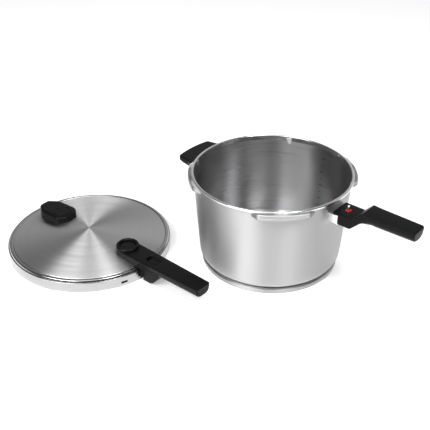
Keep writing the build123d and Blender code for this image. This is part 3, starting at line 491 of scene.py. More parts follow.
# %% Cutting holes and pockets
def carve(mesh, cutter_mesh, smooth_below=34):
    """The first mesh with the second one taken away from it, as a new mesh."""
    block = bpy.data.objects.new("uncut", mesh)
    cutter = bpy.data.objects.new("cutter", cutter_mesh)
    for thing in (block, cutter):
        bpy.context.scene.collection.objects.link(thing)
    cut = block.modifiers.new("cut", "BOOLEAN")
    cut.operation, cut.solver, cut.object = "DIFFERENCE", "EXACT", cutter
    depsgraph = bpy.context.evaluated_depsgraph_get()
    result = bpy.data.meshes.new_from_object(block.evaluated_get(depsgraph))
    for thing in (block, cutter):
        bpy.data.objects.remove(thing)
    result.name = mesh.name
    result.polygons.foreach_set("use_smooth", np.ones(len(result.polygons), bool))
    result.set_sharp_from_angle(angle=radians(smooth_below))
    return result


def upright_cutter(plan, low, high):
    """Mesh of a cutter with a plan in mm, between two heights."""
    return skin("cutter", puck(plan, [(0, low), (0, high)], rings=2))


# %% [markdown]
# ## The lid
# The lid is again a turned sheet: a shallow dome, a bead at its edge, a narrow
# groove, and a polished skirt that drops past the pot's lips. The dome is part
# of a large circle. The skirt is a little shorter over each lug, so the lowest
# rows rise there with the azimuth. The relief window is a real hole: its faces
# are left out of the grid, and four strips join the outer sheet to the inner.

# %% Lid sheet
DOME_R = 560.7


def dome(r, sink=0.0):
    """Height of the dome at a radius, sink millimetres under its surface."""
    return DOME_TOP - DOME_R + np.sqrt((DOME_R - sink) ** 2 - np.asarray(r, float) ** 2)


DISC_R, SHOULDER_R, LID_SHEET = 111.6, 104.0, 1.4
SKIRT_IN = SKIRT_R - 1.2
WINDOW_LOW, WINDOW_HIGH = 4.7, 8.2
over = np.linspace(0, DISC_R, 48)
under = np.linspace(SHOULDER_R, 0, 44)
edge_line = rounded(
    [(DISC_R, dome(DISC_R)), (112.5, 17.9), (113.6, 18.9), (117.2, 18.6), (118.4, 15.7),
     (SKIRT_R, 15.5), (SKIRT_R, WINDOW_HIGH), (SKIRT_R, WINDOW_LOW), (SKIRT_R, 0),
     (SKIRT_IN, 0), (SKIRT_IN, WINDOW_LOW), (SKIRT_IN, WINDOW_HIGH), (SKIRT_IN, 14.6),
     (SKIRT_R - 2.2, 15.9), (SHOULDER_R, 15.9), (SHOULDER_R, dome(SHOULDER_R, LID_SHEET))],
    [0, 0.35, 1.4, 1.9, 0.25, 1.1, 0, 0, 0.4, 0.4, 0, 0, 0.8, 0, 0, 0], steps=7)
lid_profile = np.concatenate([
    np.stack([over, dome(over)], -1), edge_line[1:-1], np.stack([under, dome(under, LID_SHEET)], -1)])
WINDOW_AZ = -18.4
half_window = 4.75 / SKIRT_R
window_edge = radians(WINDOW_AZ) + half_window
azimuths = np.concatenate([
    window_edge + np.linspace(0, 2 * pi - 2 * half_window, 285),
    window_edge - half_window * np.array([1.5, 1, 0.5])])
lid_rows = turned(lid_profile, azimuths)
low_skirt = (np.hypot(lid_rows[..., 0], lid_rows[..., 1]) > SKIRT_R - 1.4) & (lid_rows[..., 2] < WINDOW_LOW)
off_lug = abs((np.degrees(azimuths) % 90) - 45)
lift = np.clip((21.6 - off_lug) / 1.2, 0, 1)
lid_rows[..., 2] += 1.3 * lift[None] * low_skirt * (1 - lid_rows[..., 2] / WINDOW_LOW)
lid_rows[..., :2] += lid_axis


def skirt_faces(centres):
    """1 for faces of the bead and the skirt, which take a darker steel as painted shade, 0 for the brushed disc.
    """
    return (np.hypot(centres[:, 0] - lid_axis[0], centres[:, 1] - lid_axis[1]) > 112.4).astype(int)


lid_mesh = skin("lid_sheet", lid_rows, face_slot=skirt_faces)
print("lid sheet", len(lid_mesh.polygons), "faces")


# %% [markdown]
# The window's faces can be told by where they are. Once they are gone, the
# outer and the inner sheet each have a small loop of open edges, and bridging
# the two loops gives the cut edge of the steel.

# %% Relief window
def open_window(mesh, azimuth, half, low, high):
    """Opens a hole in the skirt between two heights, and closes its edge through the sheet."""
    form = bmesh.new()
    form.from_mesh(mesh)
    gone = []
    for face in form.faces:
        spot = face.calc_center_median() * 1000
        dx, dy = spot.x - lid_axis[0], spot.y - lid_axis[1]
        turn = (atan2(dy, dx) - azimuth + pi) % (2 * pi) - pi
        if abs(turn) < half and low < spot.z < high and dx * dx + dy * dy > (SKIRT_R - 2) ** 2:
            gone.append(face)
    bmesh.ops.delete(form, geom=gone, context="FACES")
    bmesh.ops.bridge_loops(form, edges=[e for e in form.edges if e.is_boundary])
    bmesh.ops.recalc_face_normals(form, faces=form.faces)
    form.to_mesh(mesh)
    form.free()
    print("window:", len(gone), "faces opened")


open_window(lid_mesh, radians(WINDOW_AZ), half_window, WINDOW_LOW, WINDOW_HIGH)
valve_low, valve_high = box_mm("valve_body")
safety_low, safety_high = box_mm("safety_body")
valve_axis = (valve_low + valve_high)[:2] / 2
safety_axis = (safety_low + safety_high)[:2] / 2
VALVE_BORE_R, SAFETY_BORE_R = 11.9, 9.3
t = np.linspace(0, 2 * pi, 48, endpoint=False)
circle = np.stack([np.cos(t), np.sin(t)], -1)
for axis, r in ((valve_axis, VALVE_BORE_R), (safety_axis, SAFETY_BORE_R)):
    lid_mesh = carve(lid_mesh, upright_cutter(axis + r * circle, 18.0, 36.0), 32)
lid_sheet = piece("lid_sheet", lid_mesh, "lid", "lid_steel", "lid_shell")

# %% [markdown]
# Behind the window hangs a thin sheet with the dark silicone finish. It is
# painted shade: a dark sheet put where the inside of the lid lies in shade, so
# the window reads as a dark slot. It is a strip turned about the lid's axis,
# kept to the azimuths of the window.

# %% Window shade sheet
SHADE_SHEET_IN, SHADE_SHEET_OUT = SKIRT_R - 1.9, SKIRT_R - 1.25
shade_sheet_section = np.array([(SHADE_SHEET_IN, 3.6), (SHADE_SHEET_OUT, 3.6), (SHADE_SHEET_OUT, 9.2), (SHADE_SHEET_IN, 9.2)])
shade_sheet_sweep = radians(WINDOW_AZ) + 1.4 * half_window * np.linspace(-1, 1, 9)
shade_sheet_rows = turned(shade_sheet_section, shade_sheet_sweep, lid_axis).transpose(1, 0, 2)
# A dark sheet behind the window: painted shade.
piece("window_flap", skin("window_flap", with_ends(shade_sheet_rows)), "lid", "grey_silicone")

# %% [markdown]
# Under the skirt, four lugs are folded inwards. They hook below the pot's
# lips. Two flat seats are sunk into the dome where the valves are clamped.
# Both are hidden from above, and they show when the lid is lifted.

# %% Lugs and valve seats of the lid
lug_corners = [(114.5, 1.3), (SKIRT_R - 0.5, 1.3), (SKIRT_R - 0.5, 2.9), (114.5, 2.9)]
lug_section = rounded(lug_corners, [0.6, 0, 0, 0.6], closed=True)
for number, middle in enumerate((45, 135, 225, 315), 1):
    sweep = np.radians(np.linspace(middle - 21, middle + 21, 43))
    rows = turned(lug_section, sweep, lid_axis).transpose(1, 0, 2)
    piece(f"lid_lug_{number}", skin(f"lid_lug_{number}", with_ends(rows)), "lid", "lid_steel")

seats = (
    ("valve_seat", valve_axis, 6.2, 12.6, 20.0, 23.2),
    ("safety_seat", safety_axis, 5.2, 10.0, 22.1, 25.4))
for name, axis, bore, r, low, high in seats:
    seat = rounded(
        [(bore, low), (r, low), (r, high), (r - LID_SHEET, high), (r - LID_SHEET, low + LID_SHEET),
         (bore, low + LID_SHEET)], [0.2, 1, 0, 0, 0, 0.2], closed=True)
    piece(name, skin(name, turned(seat, 72, axis), loop=True), "lid", "lid_steel")

# %% [markdown]
# ## The lid's handle
# The handle is two mouldings with a parting line between them. The lower one
# is a loft like the pot's grip: its underside rests on the dome, drops as a
# block outside the skirt, and rises again to the grip. The upper one is a
# puck. Its plan is the dial's circle with two tapering sides.

# %% Lower half of the handle
hand_low, hand_high = box_mm("lid_handle_base")
cover_low, cover_high = box_mm("lid_handle_cover")
dial_low, dial_high = box_mm("pressure_dial")
DIAL_X = valve_axis[0] - lid_axis[0]
DIAL_OUT = (dial_high[0] - dial_low[0]) / 2
GRIP_X = hand_high[0] - lid_axis[0]
PART_LINE = cover_low[2]
COVER_TOP = cover_high[2]
nose = DIAL_OUT - 0.9
BLOCK_UNDER = 3.0
GRIP_UNDER = hand_low[2] + 15
x = np.concatenate([
    DIAL_X - nose * np.cos(np.linspace(0.06, pi / 2, 22)), np.linspace(DIAL_X + 2, 121.2, 20), [121.45],
    np.linspace(122.6, 160, 56), np.linspace(163, GRIP_X - 3.2, 16),
    GRIP_X - 3 + 3 * np.sin(np.linspace(0.05, pi / 2, 12))])
block_line = [(60, BLOCK_UNDER), (141, BLOCK_UNDER), (146.5, 6.5), (157, GRIP_UNDER), (240, GRIP_UNDER)]
block = along(x, block_line, [0, 2.5, 4, 6, 0])
low_edge = np.where(x < 121.3, np.maximum(dome(np.minimum(x, 111)) - 0.6, 19.2), block)
half_line = [(DIAL_X - 20, nose), (DIAL_X, nose), (160, 13.7), (GRIP_X, 12.6), (GRIP_X + 9, 12.5)]
half = along(x, half_line, [0] * 5)
half = np.where(x < DIAL_X, np.sqrt(np.maximum(nose**2 - (x - DIAL_X) ** 2, 0.01)), half)
draw_in = tip(x, GRIP_X, 3)
soft = eased((x - 146) / 14)
base_rows = sections(
    x, half - draw_in, low_edge + draw_in, PART_LINE - 0.25 + 0 * x, 0.7 + 8.6 * soft, 0.35 + 0 * x)
base_rows[..., :2] += lid_axis

# The lock pin slides into a groove of the block from one side, and the latch's
# hook has a well next to it.
PIN_R, GROOVE_HALF, GROOVE_DEPTH = 125.5, 2.6, 5.2
WELL_X, WELL_Y, WELL_DEPTH = (120.7, 127.9), (-7.6, -2.8), 16.0
sweep = np.radians(np.linspace(-9, 1.2, 18))
arc = np.stack([np.cos(sweep), np.sin(sweep)], -1)
groove_plan = np.concatenate([(PIN_R - GROOVE_HALF) * arc[::-1], (PIN_R + GROOVE_HALF) * arc])
well_plan = np.array([(WELL_X[i], WELL_Y[j]) for i, j in ((0, 0), (1, 0), (1, 1), (0, 1))])
lower_mesh = skin("handle_lower", with_ends(base_rows), 36)
for plan, depth in ((groove_plan, GROOVE_DEPTH), (well_plan, WELL_DEPTH)):
    lower_mesh = carve(lower_mesh, upright_cutter(plan + lid_axis, BLOCK_UNDER - 1, BLOCK_UNDER + depth), 36)
piece("handle_lower", lower_mesh, "lid", "handle_plastic", "lid_handle_base")

# %% [markdown]
# Where the block meets the skirt it has a few small upright ribs. Small as they
# are, they break up the black flank the way the real moulding does.

# %% Ribs on the block
RIB_ACROSS, RIB_THICK = 1.1, 1.5
RIB_START, RIB_PITCH, RIB_TOP = 122.3, 1.9, 18.5


def rib(name, x, y, floor):
    """A small upright bar with rounded edges, from a height up to RIB_TOP."""
    length = RIB_TOP - floor
    s = np.concatenate([[0, 0.15], np.linspace(0.4, length - 0.4, 6), [length - 0.15, length]])
    at_end = (s < 0.01) | (s > length - 0.01)
    near_end = (s < 0.2) | (s > length - 0.2)
    pull = np.where(at_end, 0.3, np.where(near_end, 0.1, 0))
    thin, soft = RIB_THICK / 2 - pull, 0.35 + 0 * s
    rows = sections(s, RIB_ACROSS / 2 - pull, -thin, thin, soft, soft, steps=5)
    place = np.stack([x - rows[..., 2], y + rows[..., 1], floor + rows[..., 0]], -1)
    piece(name, skin(name, with_ends(place)), "lid", "handle_plastic")


for number in range(4):
    rib_x = lid_axis[0] + RIB_START + RIB_PITCH * number
    for side, letter in ((-1, "a"), (1, "b")):
        rib_y = lid_axis[1] + side * (14.55 - 0.045 * number)
        rib(f"block_rib_{letter}{number + 1}", rib_x, rib_y, 6.0 + 0.6 * number)

# %% [markdown]
# The cover is a puck with a slot cut in it for the thumb slide.

# %% Upper half of the handle
def pad_plan(x0, x1, y0, y1, tail_r):
    """Plan of the thumb slide or of its slot: wide corners at x0, small ones at x1."""
    return rounded([(x0, y0), (x1, y0), (x1, y1), (x0, y1)], [4, tail_r, tail_r, 4], closed=True, steps=9)


end_half = (cover_high[1] - cover_low[1]) / 2 * 12.8 / 16.4
a = np.linspace(pi / 2, 3 * pi / 2, 61)
nose_line = np.stack([DIAL_X + DIAL_OUT * np.cos(a), DIAL_OUT * np.sin(a)], -1)
tail = rounded([nose_line[-1], (GRIP_X, -end_half), (GRIP_X, end_half), nose_line[0]], [0, 2.4, 2.4, 0], steps=8)
cover_plan = spaced(np.concatenate([nose_line, tail[1:-1]]), 3.0, closed=True) + lid_axis
cover_edge = [(0.5, PART_LINE), (0.12, PART_LINE + 0.1), (0, PART_LINE + 0.4), (0, COVER_TOP - 2.4)]
cover_edge += quarter_edge(1.3, COVER_TOP, 8)
cover_mesh = skin("handle_cover", puck(cover_plan, cover_edge, lid_axis + (150, 0), rings=2), 36)
slide_low, slide_high = box_mm("thumb_slide")
SLOT_HALF = 6.2
slot_plan = pad_plan(
    lid_axis[0] + 124.2, lid_axis[0] + 145.7, lid_axis[1] - SLOT_HALF, lid_axis[1] + SLOT_HALF, 1)
slot_edge = [(0, PART_LINE + 0.4), (0, COVER_TOP - 0.4), (-0.5, COVER_TOP + 0.1), (-0.5, COVER_TOP + 3)]
slot_cutter = skin("slot", puck(slot_plan, slot_edge, rings=2))
piece("handle_cover", carve(cover_mesh, slot_cutter), "lid", "cover_plastic", "lid_handle_cover")

# %% Thumb slide
slide_corners = pad_plan(slide_low[0], slide_high[0], slide_low[1], slide_high[1], 0.9)
slide_plan = spaced(slide_corners, 1.2, closed=True)
slide_edge = [
    (0.2, PART_LINE + 0.5), (0, PART_LINE + 0.8), (0, COVER_TOP - 0.7), (0.2, COVER_TOP - 0.15),
    (0.6, COVER_TOP), (1.3, COVER_TOP - 0.05), (2.0, COVER_TOP - 0.5), (3.0, COVER_TOP - 0.75)]
slide_mesh = skin("slide_pad", puck(slide_plan, slide_edge, rings=4), 40)
piece("slide_pad", slide_mesh, "latch", "cover_plastic", "thumb_slide")

# %% [markdown]
# ## Dial and pressure indicator
# The dial is a bevelled ring that turns round the main valve, and the domed
# indicator rises inside it. Both are turned parts, so a profile is all they
# need. Bevels with small radii at both edges make the two thin highlights that
# tell a moulded ring from a plain tube.

# %% Dial and indicator
DIAL_FLOOR, DIAL_TOP = dial_low[2], dial_high[2]
dial_line = rounded(
    [(12.0, DIAL_FLOOR), (13.2, DIAL_FLOOR), (13.2, COVER_TOP + 0.1), (DIAL_OUT, COVER_TOP + 0.1),
     (DIAL_OUT, DIAL_TOP - 1.5), (DIAL_OUT - 1.4, DIAL_TOP), (13.4, DIAL_TOP), (12.0, DIAL_TOP - 1.2)],
    [0.2, 0, 0, 0.3, 0.5, 0.5, 0.4, 0.4], closed=True)
dial_mesh = skin("dial_ring", turned(dial_line, 144, valve_axis), loop=True)
piece("dial_ring", dial_mesh, "pressure_dial", "cover_plastic", "pressure_dial")

cap_low, cap_high = box_mm("indicator_cap")
CAP_FLOOR, CAP_TOP = cap_low[2], cap_high[2]
CROWN_R, CROWN = 10.6, 0.55
r = np.linspace(0, CROWN_R, 14)
crown_line = np.stack([r, CAP_TOP - CROWN * (r / CROWN_R) ** 2], -1)
side_line = rounded(
    [(CROWN_R, CAP_TOP - CROWN), (11.6, CAP_TOP - 1.0), (11.6, CAP_FLOOR), (10.4, CAP_FLOOR),
     (10.4, CAP_FLOOR + 0.8), (0, CAP_FLOOR + 0.8)], [0, 0.4, 0.2, 0.2, 0, 0])
cap_line = np.concatenate([crown_line, side_line[1:]])
disc_mesh = skin("indicator_disc", turned(cap_line, 96, valve_axis))
piece("indicator_disc", disc_mesh, "indicator", "cover_plastic", "indicator_cap")

# %% [markdown]
# ## The counter grip
# Opposite the handle, an eight-sided block covers the safety valve. It is a
# puck too. Its lowest rows follow the dome: their height comes from their
# distance to the lid's axis. A raised disc sits on its top face.

# %% Counter grip
grip_low, grip_high = box_mm("counter_grip")
GRIP_AZ = atan2(safety_axis[1] - lid_axis[1], safety_axis[0] - lid_axis[0])
COUNTER_TOP = grip_high[2] - 0.9
corners = [
    (38.5, -10.5), (49, -19.8), (84, -18.6), (99, -8.5), (99, 8.5), (84, 18.6), (49, 19.8), (38.5, 10.5), (37, 0)]
plan = spaced(rounded(corners, [7, 12, 16, 8, 8, 16, 12, 7, 20], closed=True, steps=8), 2.0, closed=True)
c, s = cos(GRIP_AZ), sin(GRIP_AZ)
plan = plan @ np.array([[c, s], [-s, c]]) + lid_axis
UNDER_DOME = 19
counter_edge = [
    (0, UNDER_DOME), (0, COUNTER_TOP - 3.2), (0.15, COUNTER_TOP - 2.4), (0.6, COUNTER_TOP - 1.7),
    (1.5, COUNTER_TOP - 0.8), (2.8, COUNTER_TOP - 0.2), (4.2, COUNTER_TOP)]
rows = puck(plan, counter_edge, lid_axis + np.array([c, s]) * 68, rings=6)
reach = np.hypot(rows[..., 0] - lid_axis[0], rows[..., 1] - lid_axis[1])
rows[..., 2] = np.where(rows[..., 2] <= UNDER_DOME + 0.01, dome(np.minimum(reach, 111)) - 0.5, rows[..., 2])
piece("counter_block", skin("counter_block", rows, 36), "lid", "cover_plastic", "counter_grip")

disc_axis = lid_axis + np.array([c, s]) * 56.5
disc_line = rounded(
    [(0, COUNTER_TOP + 0.35), (9.5, COUNTER_TOP + 0.1), (10.6, COUNTER_TOP + 0.2),
     (11.2, COUNTER_TOP + 0.9), (12.7, COUNTER_TOP + 0.9), (13.5, COUNTER_TOP - 0.1),
     (0, COUNTER_TOP - 0.3)], [0, 0.8, 0.4, 0.4, 0.4, 0.3, 0], steps=6)
disc_mesh = skin("counter_disc", turned(spaced(disc_line, 1.5), 120, disc_axis))
piece("counter_disc", disc_mesh, "lid", "cover_plastic", "counter_grip")

# %% [markdown]
# ## Finishes
# Every finish is worked out from the place of a point on the piece, so no
# pictures and no unwrapping are needed. To keep the shader maths readable, the
# small class below stands for one value in a material: sums and products of
# such values add their Math nodes, and one method adds any other node.


# %% Shader values as expressions
class Wire:
    """An output socket. Python's operators on it add Math nodes to its material."""

    def __init__(self, socket):
        self.socket = socket

    def node(self, kind, settings=None, inputs=None, output=0):
        """Adds a node of a type, sets its settings, fills its sockets, and gives an output."""
        return add_node(self.socket.id_data, kind, settings, inputs, output)

    def maths(self, operation, *others):
        return self.node("ShaderNodeMath", {"operation": operation}, dict(enumerate((self, *others))))

    def __add__(self, other):
        return self.maths("ADD", other)

    def __sub__(self, other):
        return self.maths("SUBTRACT", other)

    def __rsub__(self, other):
        subtract = {"operation": "SUBTRACT"}
        return add_node(self.socket.id_data, "ShaderNodeMath", subtract, {0: other, 1: self})

    def __mul__(self, other):
        return self.maths("MULTIPLY", other)

    def __truediv__(self, other):
        return self.maths("DIVIDE", other)

    def __pow__(self, other):
        return self.maths("POWER", other)

    __radd__ = __add__
    __rmul__ = __mul__

    def within(self, low, high, soft):
        """1 where the value lies between low and high, with edges of width soft."""
        smooth = {"interpolation_type": "SMOOTHSTEP"}
        rise = self.node("ShaderNodeMapRange", smooth, {0: self, 1: low - soft, 2: low + soft})
        fall = self.node("ShaderNodeMapRange", smooth, {0: self, 1: high - soft, 2: high + soft})
        return rise * (1 - fall)


def add_node(tree, kind, settings=None, inputs=None, output=0):
    """Adds a node to a tree. settings are attributes; inputs are numbers, colours or Wires."""
    made = tree.nodes.new(kind)
    for key, value in (settings or {}).items():
        setattr(made, key, value)
    for key, value in (inputs or {}).items():
        if isinstance(value, Wire):
            tree.links.new(value.socket, made.inputs[key])
        else:
            made.inputs[key].default_value = value
    return Wire(made.outputs[output])


def place_of(material):
    """The point on the piece, in metres, as a vector."""
    return add_node(material.node_tree, "ShaderNodeTexCoord", output="Object")


def axes_of(vector):
    """The three parts of a vector, each as a value."""
    made = vector.node("ShaderNodeSeparateXYZ", inputs={0: vector})
    return [Wire(made.socket.node.outputs[k]) for k in range(3)]


def noise(vector, scale, detail=2.0, stretch=(1, 1, 1)):
    """Cloudy noise from 0 to 1. stretch multiplies the vector first: large numbers squeeze it."""
    laid = vector.node("ShaderNodeMapping", {"vector_type": "POINT"}, {"Vector": vector, "Scale": stretch})
    return vector.node("ShaderNodeTexNoise", None, {"Vector": laid, "Scale": scale, "Detail": detail})


def mixed(factor, first, second):
    """First colour where the factor is 0, second where it is 1."""
    return factor.node("ShaderNodeMix", {"data_type": "RGBA"}, {0: factor, 6: (*first, 1), 7: (*second, 1)}, 2)


def material(name, **sockets):
    """A new material; sockets such as Base_Color or Roughness take constants."""
    made = bpy.data.materials.new(name)
    made.use_nodes = True
    shader = made.node_tree.nodes["Principled BSDF"]
    for key, value in sockets.items():
        shader.inputs[key.replace("_", " ")].default_value = value
    return made


def feed(made, **values):
    """Links varying values to sockets of a material's shader."""
    shader = made.node_tree.nodes["Principled BSDF"]
    for key, value in values.items():
        made.node_tree.links.new(value.socket, shader.inputs[key.replace("_", " ")])


def grain(height, strength, depth):
    """A bump from a height value; depth is in metres."""
    return height.node("ShaderNodeBump", None, {"Strength": strength, "Distance": depth, "Height": height})


# %% [markdown]
# ### Steel
# The wall is polished round the pot, so its finest scratches run level. Such
# scratches spread a reflection upright and keep it sharp sideways, which is
# why a steel pot shows tall soft bands. The shader does this with anisotropy,
# turned a quarter so that it spreads across the scratches. A level streak
# noise, stretched thin in Z, gives the finish its slight unevenness. The
# inside is brushed more coarsely, and its steel is given a darker colour than
# the outside's: painted shade for the inside of the pot.

# %% Steel of the pot
POT_METAL = (0.60, 0.60, 0.605, 1)


def level_steel(name, rough, spread, streaks, dark, light):
    """Steel brushed round the pot's axis: roughness and colour vary in thin level streaks."""
    made = material(
        name, Base_Color=POT_METAL, Metallic=1.0, Roughness=rough, Anisotropic=spread, Anisotropic_Rotation=0.25)
    spot = place_of(made)
    fine = noise(spot, 1.0, 3.0, (9, 9, 1500))
    cloud = noise(spot, 14.0, 2.0)
    feed(made, Roughness=rough + streaks * (fine - 0.5) + 0.06 * (cloud - 0.5),
         Base_Color=mixed(fine * 0.7 + cloud * 0.3, dark, light))
    return made


outside_steel = level_steel("pot_outside_steel", 0.47, 0.92, 0.16, (0.48, 0.48, 0.485), (0.57, 0.57, 0.575))
# The inside's steel is darker than the outside's: painted shade for the inside of the pot.
shaded_inside_steel = level_steel("pot_inside_steel_painted_shade", 0.29, 0.92, 0.12, (0.42, 0.42, 0.425), (0.57, 0.57, 0.575))

# %% [markdown]
# The measuring marks are scratched into the inside of the wall: short level
# dashes every litre, shorter ones between. They are a mask of two bands, one
# across the azimuth and one across the height, and the mask darkens and
# roughens the brushed steel.

# %% Measuring marks
spot = place_of(shaded_inside_steel)
across, deep, up = axes_of(spot)
angle = deep.maths("ARCTAN2", across)
litre = ((up - 0.012) / 0.0215).maths("FRACT")
half_litre = ((up - 0.012 - 0.01075) / 0.0215).maths("FRACT")
long_dash = litre.within(0.0, 0.05, 0.012) * angle.within(radians(80.5), radians(84.5), 0.002)
short_dash = half_litre.within(0.0, 0.045, 0.012) * angle.within(radians(81.5), radians(83.5), 0.002)
marks = (long_dash + short_dash).maths("MINIMUM", 1.0) * up.within(0.028, 0.128, 0.0005)
shader = shaded_inside_steel.node_tree.nodes["Principled BSDF"]
plain_colour = Wire(shader.inputs["Base Color"].links[0].from_socket)
plain_rough = Wire(shader.inputs["Roughness"].links[0].from_socket)
etched = marks.node(
    "ShaderNodeMix", {"data_type": "RGBA"}, {0: marks * 0.8, 6: plain_colour, 7: (0.06, 0.06, 0.062, 1)}, 2)
feed(shaded_inside_steel, Base_Color=etched, Roughness=plain_rough + 0.2 * marks)

# %% [markdown]
# The lid's dome is brushed in circles about its own axis. Its highlights are
# wedges that meet at the middle, the sign of circular brushing, and again the
# quarter-turned anisotropy makes them. The rings that the brush left are noise
# read along the radius, with a slow drift round the circle.

# %% Steel of the lid
lid_steel = material("lid_brushed_steel", Metallic=1.0, Anisotropic=0.9, Anisotropic_Rotation=0.25)
spot = place_of(lid_steel)
to_middle = (-lid_axis[0] / 1000, -lid_axis[1] / 1000, 0)
centred = spot.node("ShaderNodeMapping", {"vector_type": "POINT"}, {"Vector": spot, "Location": to_middle})
across, deep, up = axes_of(centred)
radius = (across * across + deep * deep) ** 0.5
ring_place = spot.node("ShaderNodeCombineXYZ", inputs={0: radius * 1400, 1: across * 10, 2: deep * 10})
rings = noise(ring_place, 1.0, 3.0)
broad_place = spot.node("ShaderNodeCombineXYZ", inputs={0: radius * 130, 1: across * 6, 2: deep * 6})
broad = noise(broad_place, 1.0, 2.0)
feed(lid_steel, Base_Color=mixed(rings * 0.5 + broad * 0.5, (0.58, 0.58, 0.585), (0.76, 0.76, 0.765)),
     Roughness=0.43 + 0.10 * (rings - 0.5) + 0.10 * (broad - 0.5))


def bright_steel(name, dark, light):
    """Polished steel: a sharp shine with faint clouds in it."""
    made = material(name, Metallic=1.0)
    cloud = noise(place_of(made), 60.0, 3.0)
    feed(made, Roughness=0.15 + 0.12 * cloud, Base_Color=mixed(cloud, dark, light))
    return made


# The rim's steel is given a lighter colour than the pot's steel: a painted highlight on the bead, the steel cup
# and the ear's bracket.
polished = bright_steel("rim_steel_painted_highlight", (0.74, 0.74, 0.745), (0.86, 0.86, 0.865))
# The skirt's steel is given a darker colour than the rim's: painted shade on the lid's bead and skirt.
shaded_skirt_steel = bright_steel("skirt_steel_painted_shade", (0.40, 0.40, 0.405), (0.48, 0.48, 0.485))

# %% [markdown]
# ### Plastic and silicone
# The grips are a mineral-filled black moulding. Close up it has a fine spark
# grain that breaks up the shine, and handling polishes it unevenly. The cover
# and the dial come from a smoother mould, so they look a little lighter and
# silkier.


# %% Plastics and silicones
def moulding(name, dark, light, rough, grain_size, grain_depth):
    """A moulded finish: colour and gloss vary softly, and a fine grain makes the bump."""
    made = material(
        name, Roughness=rough, IOR=1.5, Specular_IOR_Level=0.10, Coat_Weight=0.0, Coat_Roughness=0.2)
    spot = place_of(made)
    soft = noise(spot, 35.0, 3.0)
    fine = noise(spot, grain_size, 2.0)
    feed(made, Base_Color=mixed(soft * 0.6 + fine * 0.4, dark, light),
         Roughness=rough + 0.12 * (soft - 0.5) + 0.10 * (fine - 0.5), Normal=grain(fine, 0.35, grain_depth))
    return made


handle_black = moulding("handle_black", (0.002, 0.0022, 0.0022), (0.006, 0.0063, 0.0063), 0.34, 2200.0, 0.00004)
cover_black = moulding("cover_black", (0.003, 0.003, 0.0032), (0.008, 0.008, 0.0082), 0.36, 2600.0, 0.00003)
red_silicone = moulding("red_silicone", (0.36, 0.02, 0.012), (0.52, 0.04, 0.02), 0.45, 1500.0, 0.00003)
# The seals are a very dark grey.
grey_silicone = moulding("grey_silicone", (0.018, 0.018, 0.019), (0.035, 0.035, 0.036), 0.5, 1200.0, 0.00003)
turned_steel = material("turned_steel", Base_Color=POT_METAL, Metallic=1.0)
lines = noise(place_of(turned_steel), 1.0, 2.0, (300, 300, 2500))
feed(turned_steel, Roughness=0.20 + 0.14 * lines, Base_Color=mixed(lines, (0.55, 0.55, 0.56), (0.68, 0.68, 0.69)))
spring_wire = material("spring_wire", Metallic=1.0)
lines = noise(place_of(spring_wire), 900.0, 2.0)
feed(spring_wire, Roughness=0.26 + 0.14 * lines, Base_Color=mixed(lines, (0.42, 0.42, 0.43), (0.55, 0.55, 0.56)))
rolled_aluminium = material("rolled_aluminium", Metallic=1.0)
lines = noise(place_of(rolled_aluminium), 1.0, 3.0, (30, 700, 700))
feed(rolled_aluminium, Roughness=0.38 + 0.16 * lines,
     Base_Color=mixed(lines, (0.70, 0.70, 0.71), (0.80, 0.80, 0.81)))

# %% [markdown]
# Each piece now takes its finish. The CAD nodes that stay in view, such as
# screws, springs and valve parts, get theirs in the material slots they came
# with.

# %% Hand out the finishes
by_slot = {
    "polished_steel": outside_steel, "lid_steel": lid_steel, "aluminium_disc": rolled_aluminium,
    "handle_plastic": handle_black, "cover_plastic": cover_black, "red_silicone": red_silicone,
    "grey_silicone": grey_silicone, "hardware_steel": turned_steel, "spring_steel": spring_wire,
}
for name, thing in made_pieces.items():
    thing.data.materials.append(by_slot[thing["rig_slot"]])
# Slot 1 of the wall is the inside's darker steel, painted shade.
pot_wall.data.materials.append(shaded_inside_steel)
# Slot 2, the bead, takes the rim's lighter steel, a painted highlight.
pot_wall.data.materials.append(polished)
# The lid's bead and skirt take the darker steel, painted shade.
lid_sheet.data.materials.append(shaded_skirt_steel)
# The cup takes the rim's lighter steel, with its painted highlight.
made_pieces["steel_cup"].data.materials[0] = polished

node_slots = {row["node"]: row["material_slot"] for row in frame["record"]["subparts"]}
for name, thing in nodes.items():
    if not thing.hide_render:
        thing.data.materials.clear()
        thing.data.materials.append(by_slot[node_slots[name]])
# The ear's bracket takes the rim's lighter steel too, with its painted highlight.
nodes["ear_bracket"].data.materials[0] = polished
print(len(made_pieces), "new pieces,", sum(not n.hide_render for n in nodes.values()), "CAD nodes kept")

# %% [markdown]
# ## The studio
# A steel pot looks like the room around it. The room is a white floor and three
# large soft boxes: a wide one in front to the left, a narrow one in front to
# the right, and one above. A broad soft glow comes from behind, and the rest of
# the room stays dim, so the brushed steel gets its dark bands.


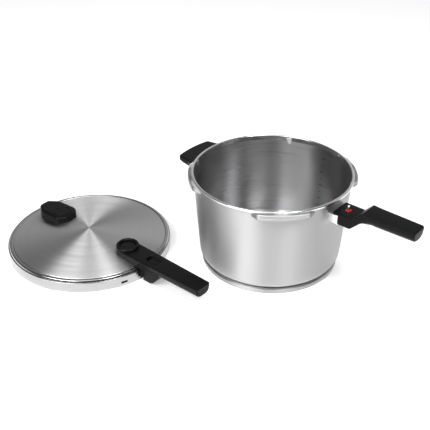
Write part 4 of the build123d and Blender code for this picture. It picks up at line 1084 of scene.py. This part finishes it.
# %% Floor, lights and camera
def soft_box(name, azimuth, elevation, distance, width, height, power):
    """An area light that looks at the cooker from a direction, in degrees and metres."""
    lamp = bpy.data.lights.new(name, "AREA")
    lamp.shape, lamp.size, lamp.size_y, lamp.energy = "RECTANGLE", width, height, power
    thing = bpy.data.objects.new(name, lamp)
    bpy.context.scene.collection.objects.link(thing)
    a, e = radians(azimuth), radians(elevation)
    out = np.array([cos(a) * cos(e), sin(a) * cos(e), sin(e)])
    middle = (np.array(cad_box[0]) + np.array(cad_box[1])) / 2
    thing.location = middle + out * distance
    back = thing.location.copy()
    thing.rotation_euler = (back - type(back)(middle)).to_track_quat("Z", "Y").to_euler()


soft_box("front_left_box", -92, 42, 2.4, 1.5, 1.1, 46)
soft_box("front_right_box", -12, 58, 2.4, 0.6, 1.0, 24)
soft_box("top_box", -54, 76, 2.6, 1.8, 1.4, 22)

floor_mesh = bpy.data.meshes.new("floor")
side = 12.0
floor_corners = [(-side, -side, 0), (side, -side, 0), (side, side, 0), (-side, side, 0)]
floor_mesh.from_pydata(floor_corners, [], [(0, 1, 2, 3)])
floor = bpy.data.objects.new("floor", floor_mesh)
bpy.context.scene.collection.objects.link(floor)
floor_white = material(
    "floor_white", Base_Color=(0.9, 0.9, 0.9, 1), Roughness=0.6, Emission_Color=(1, 1, 1, 1),
    Emission_Strength=0.40)
floor_mesh.materials.append(floor_white)

world = bpy.data.worlds.new("room")
world.use_nodes = True
sky = world.node_tree
toward = add_node(sky, "ShaderNodeTexCoord", output="Generated")


def wash(azimuth, start, full, strength):
    """Light from one side: it rises from 0 to strength as the direction nears the azimuth."""
    out = (cos(radians(azimuth)), sin(radians(azimuth)), 0.0)
    facing = toward.node("ShaderNodeVectorMath", {"operation": "DOT_PRODUCT"}, {0: toward, 1: out}, "Value")
    smooth = {"interpolation_type": "SMOOTHSTEP"}
    levels = {0: facing, 1: start, 2: full, 3: 0.0, 4: strength}
    return facing.node("ShaderNodeMapRange", smooth, levels)


glow = 0.05 + wash(100, 0.0, 0.85, 0.48)
sky.nodes["Background"].inputs["Color"].default_value = (1, 1, 1, 1)
sky.links.new(glow.socket, sky.nodes["Background"].inputs["Strength"])
bpy.context.scene.world = world
bpy.context.scene.view_settings.view_transform = "Standard"

lens = bpy.data.cameras.new("camera")
lens.lens, lens.sensor_width = 65.19, 36.0
camera = bpy.data.objects.new("camera", lens)
bpy.context.scene.collection.objects.link(camera)
camera.location = (0.5624, -0.7724, 0.6585)
camera.rotation_euler = (radians(90 - 31.85), 0, radians(130.86 - 90))
bpy.context.scene.camera = camera
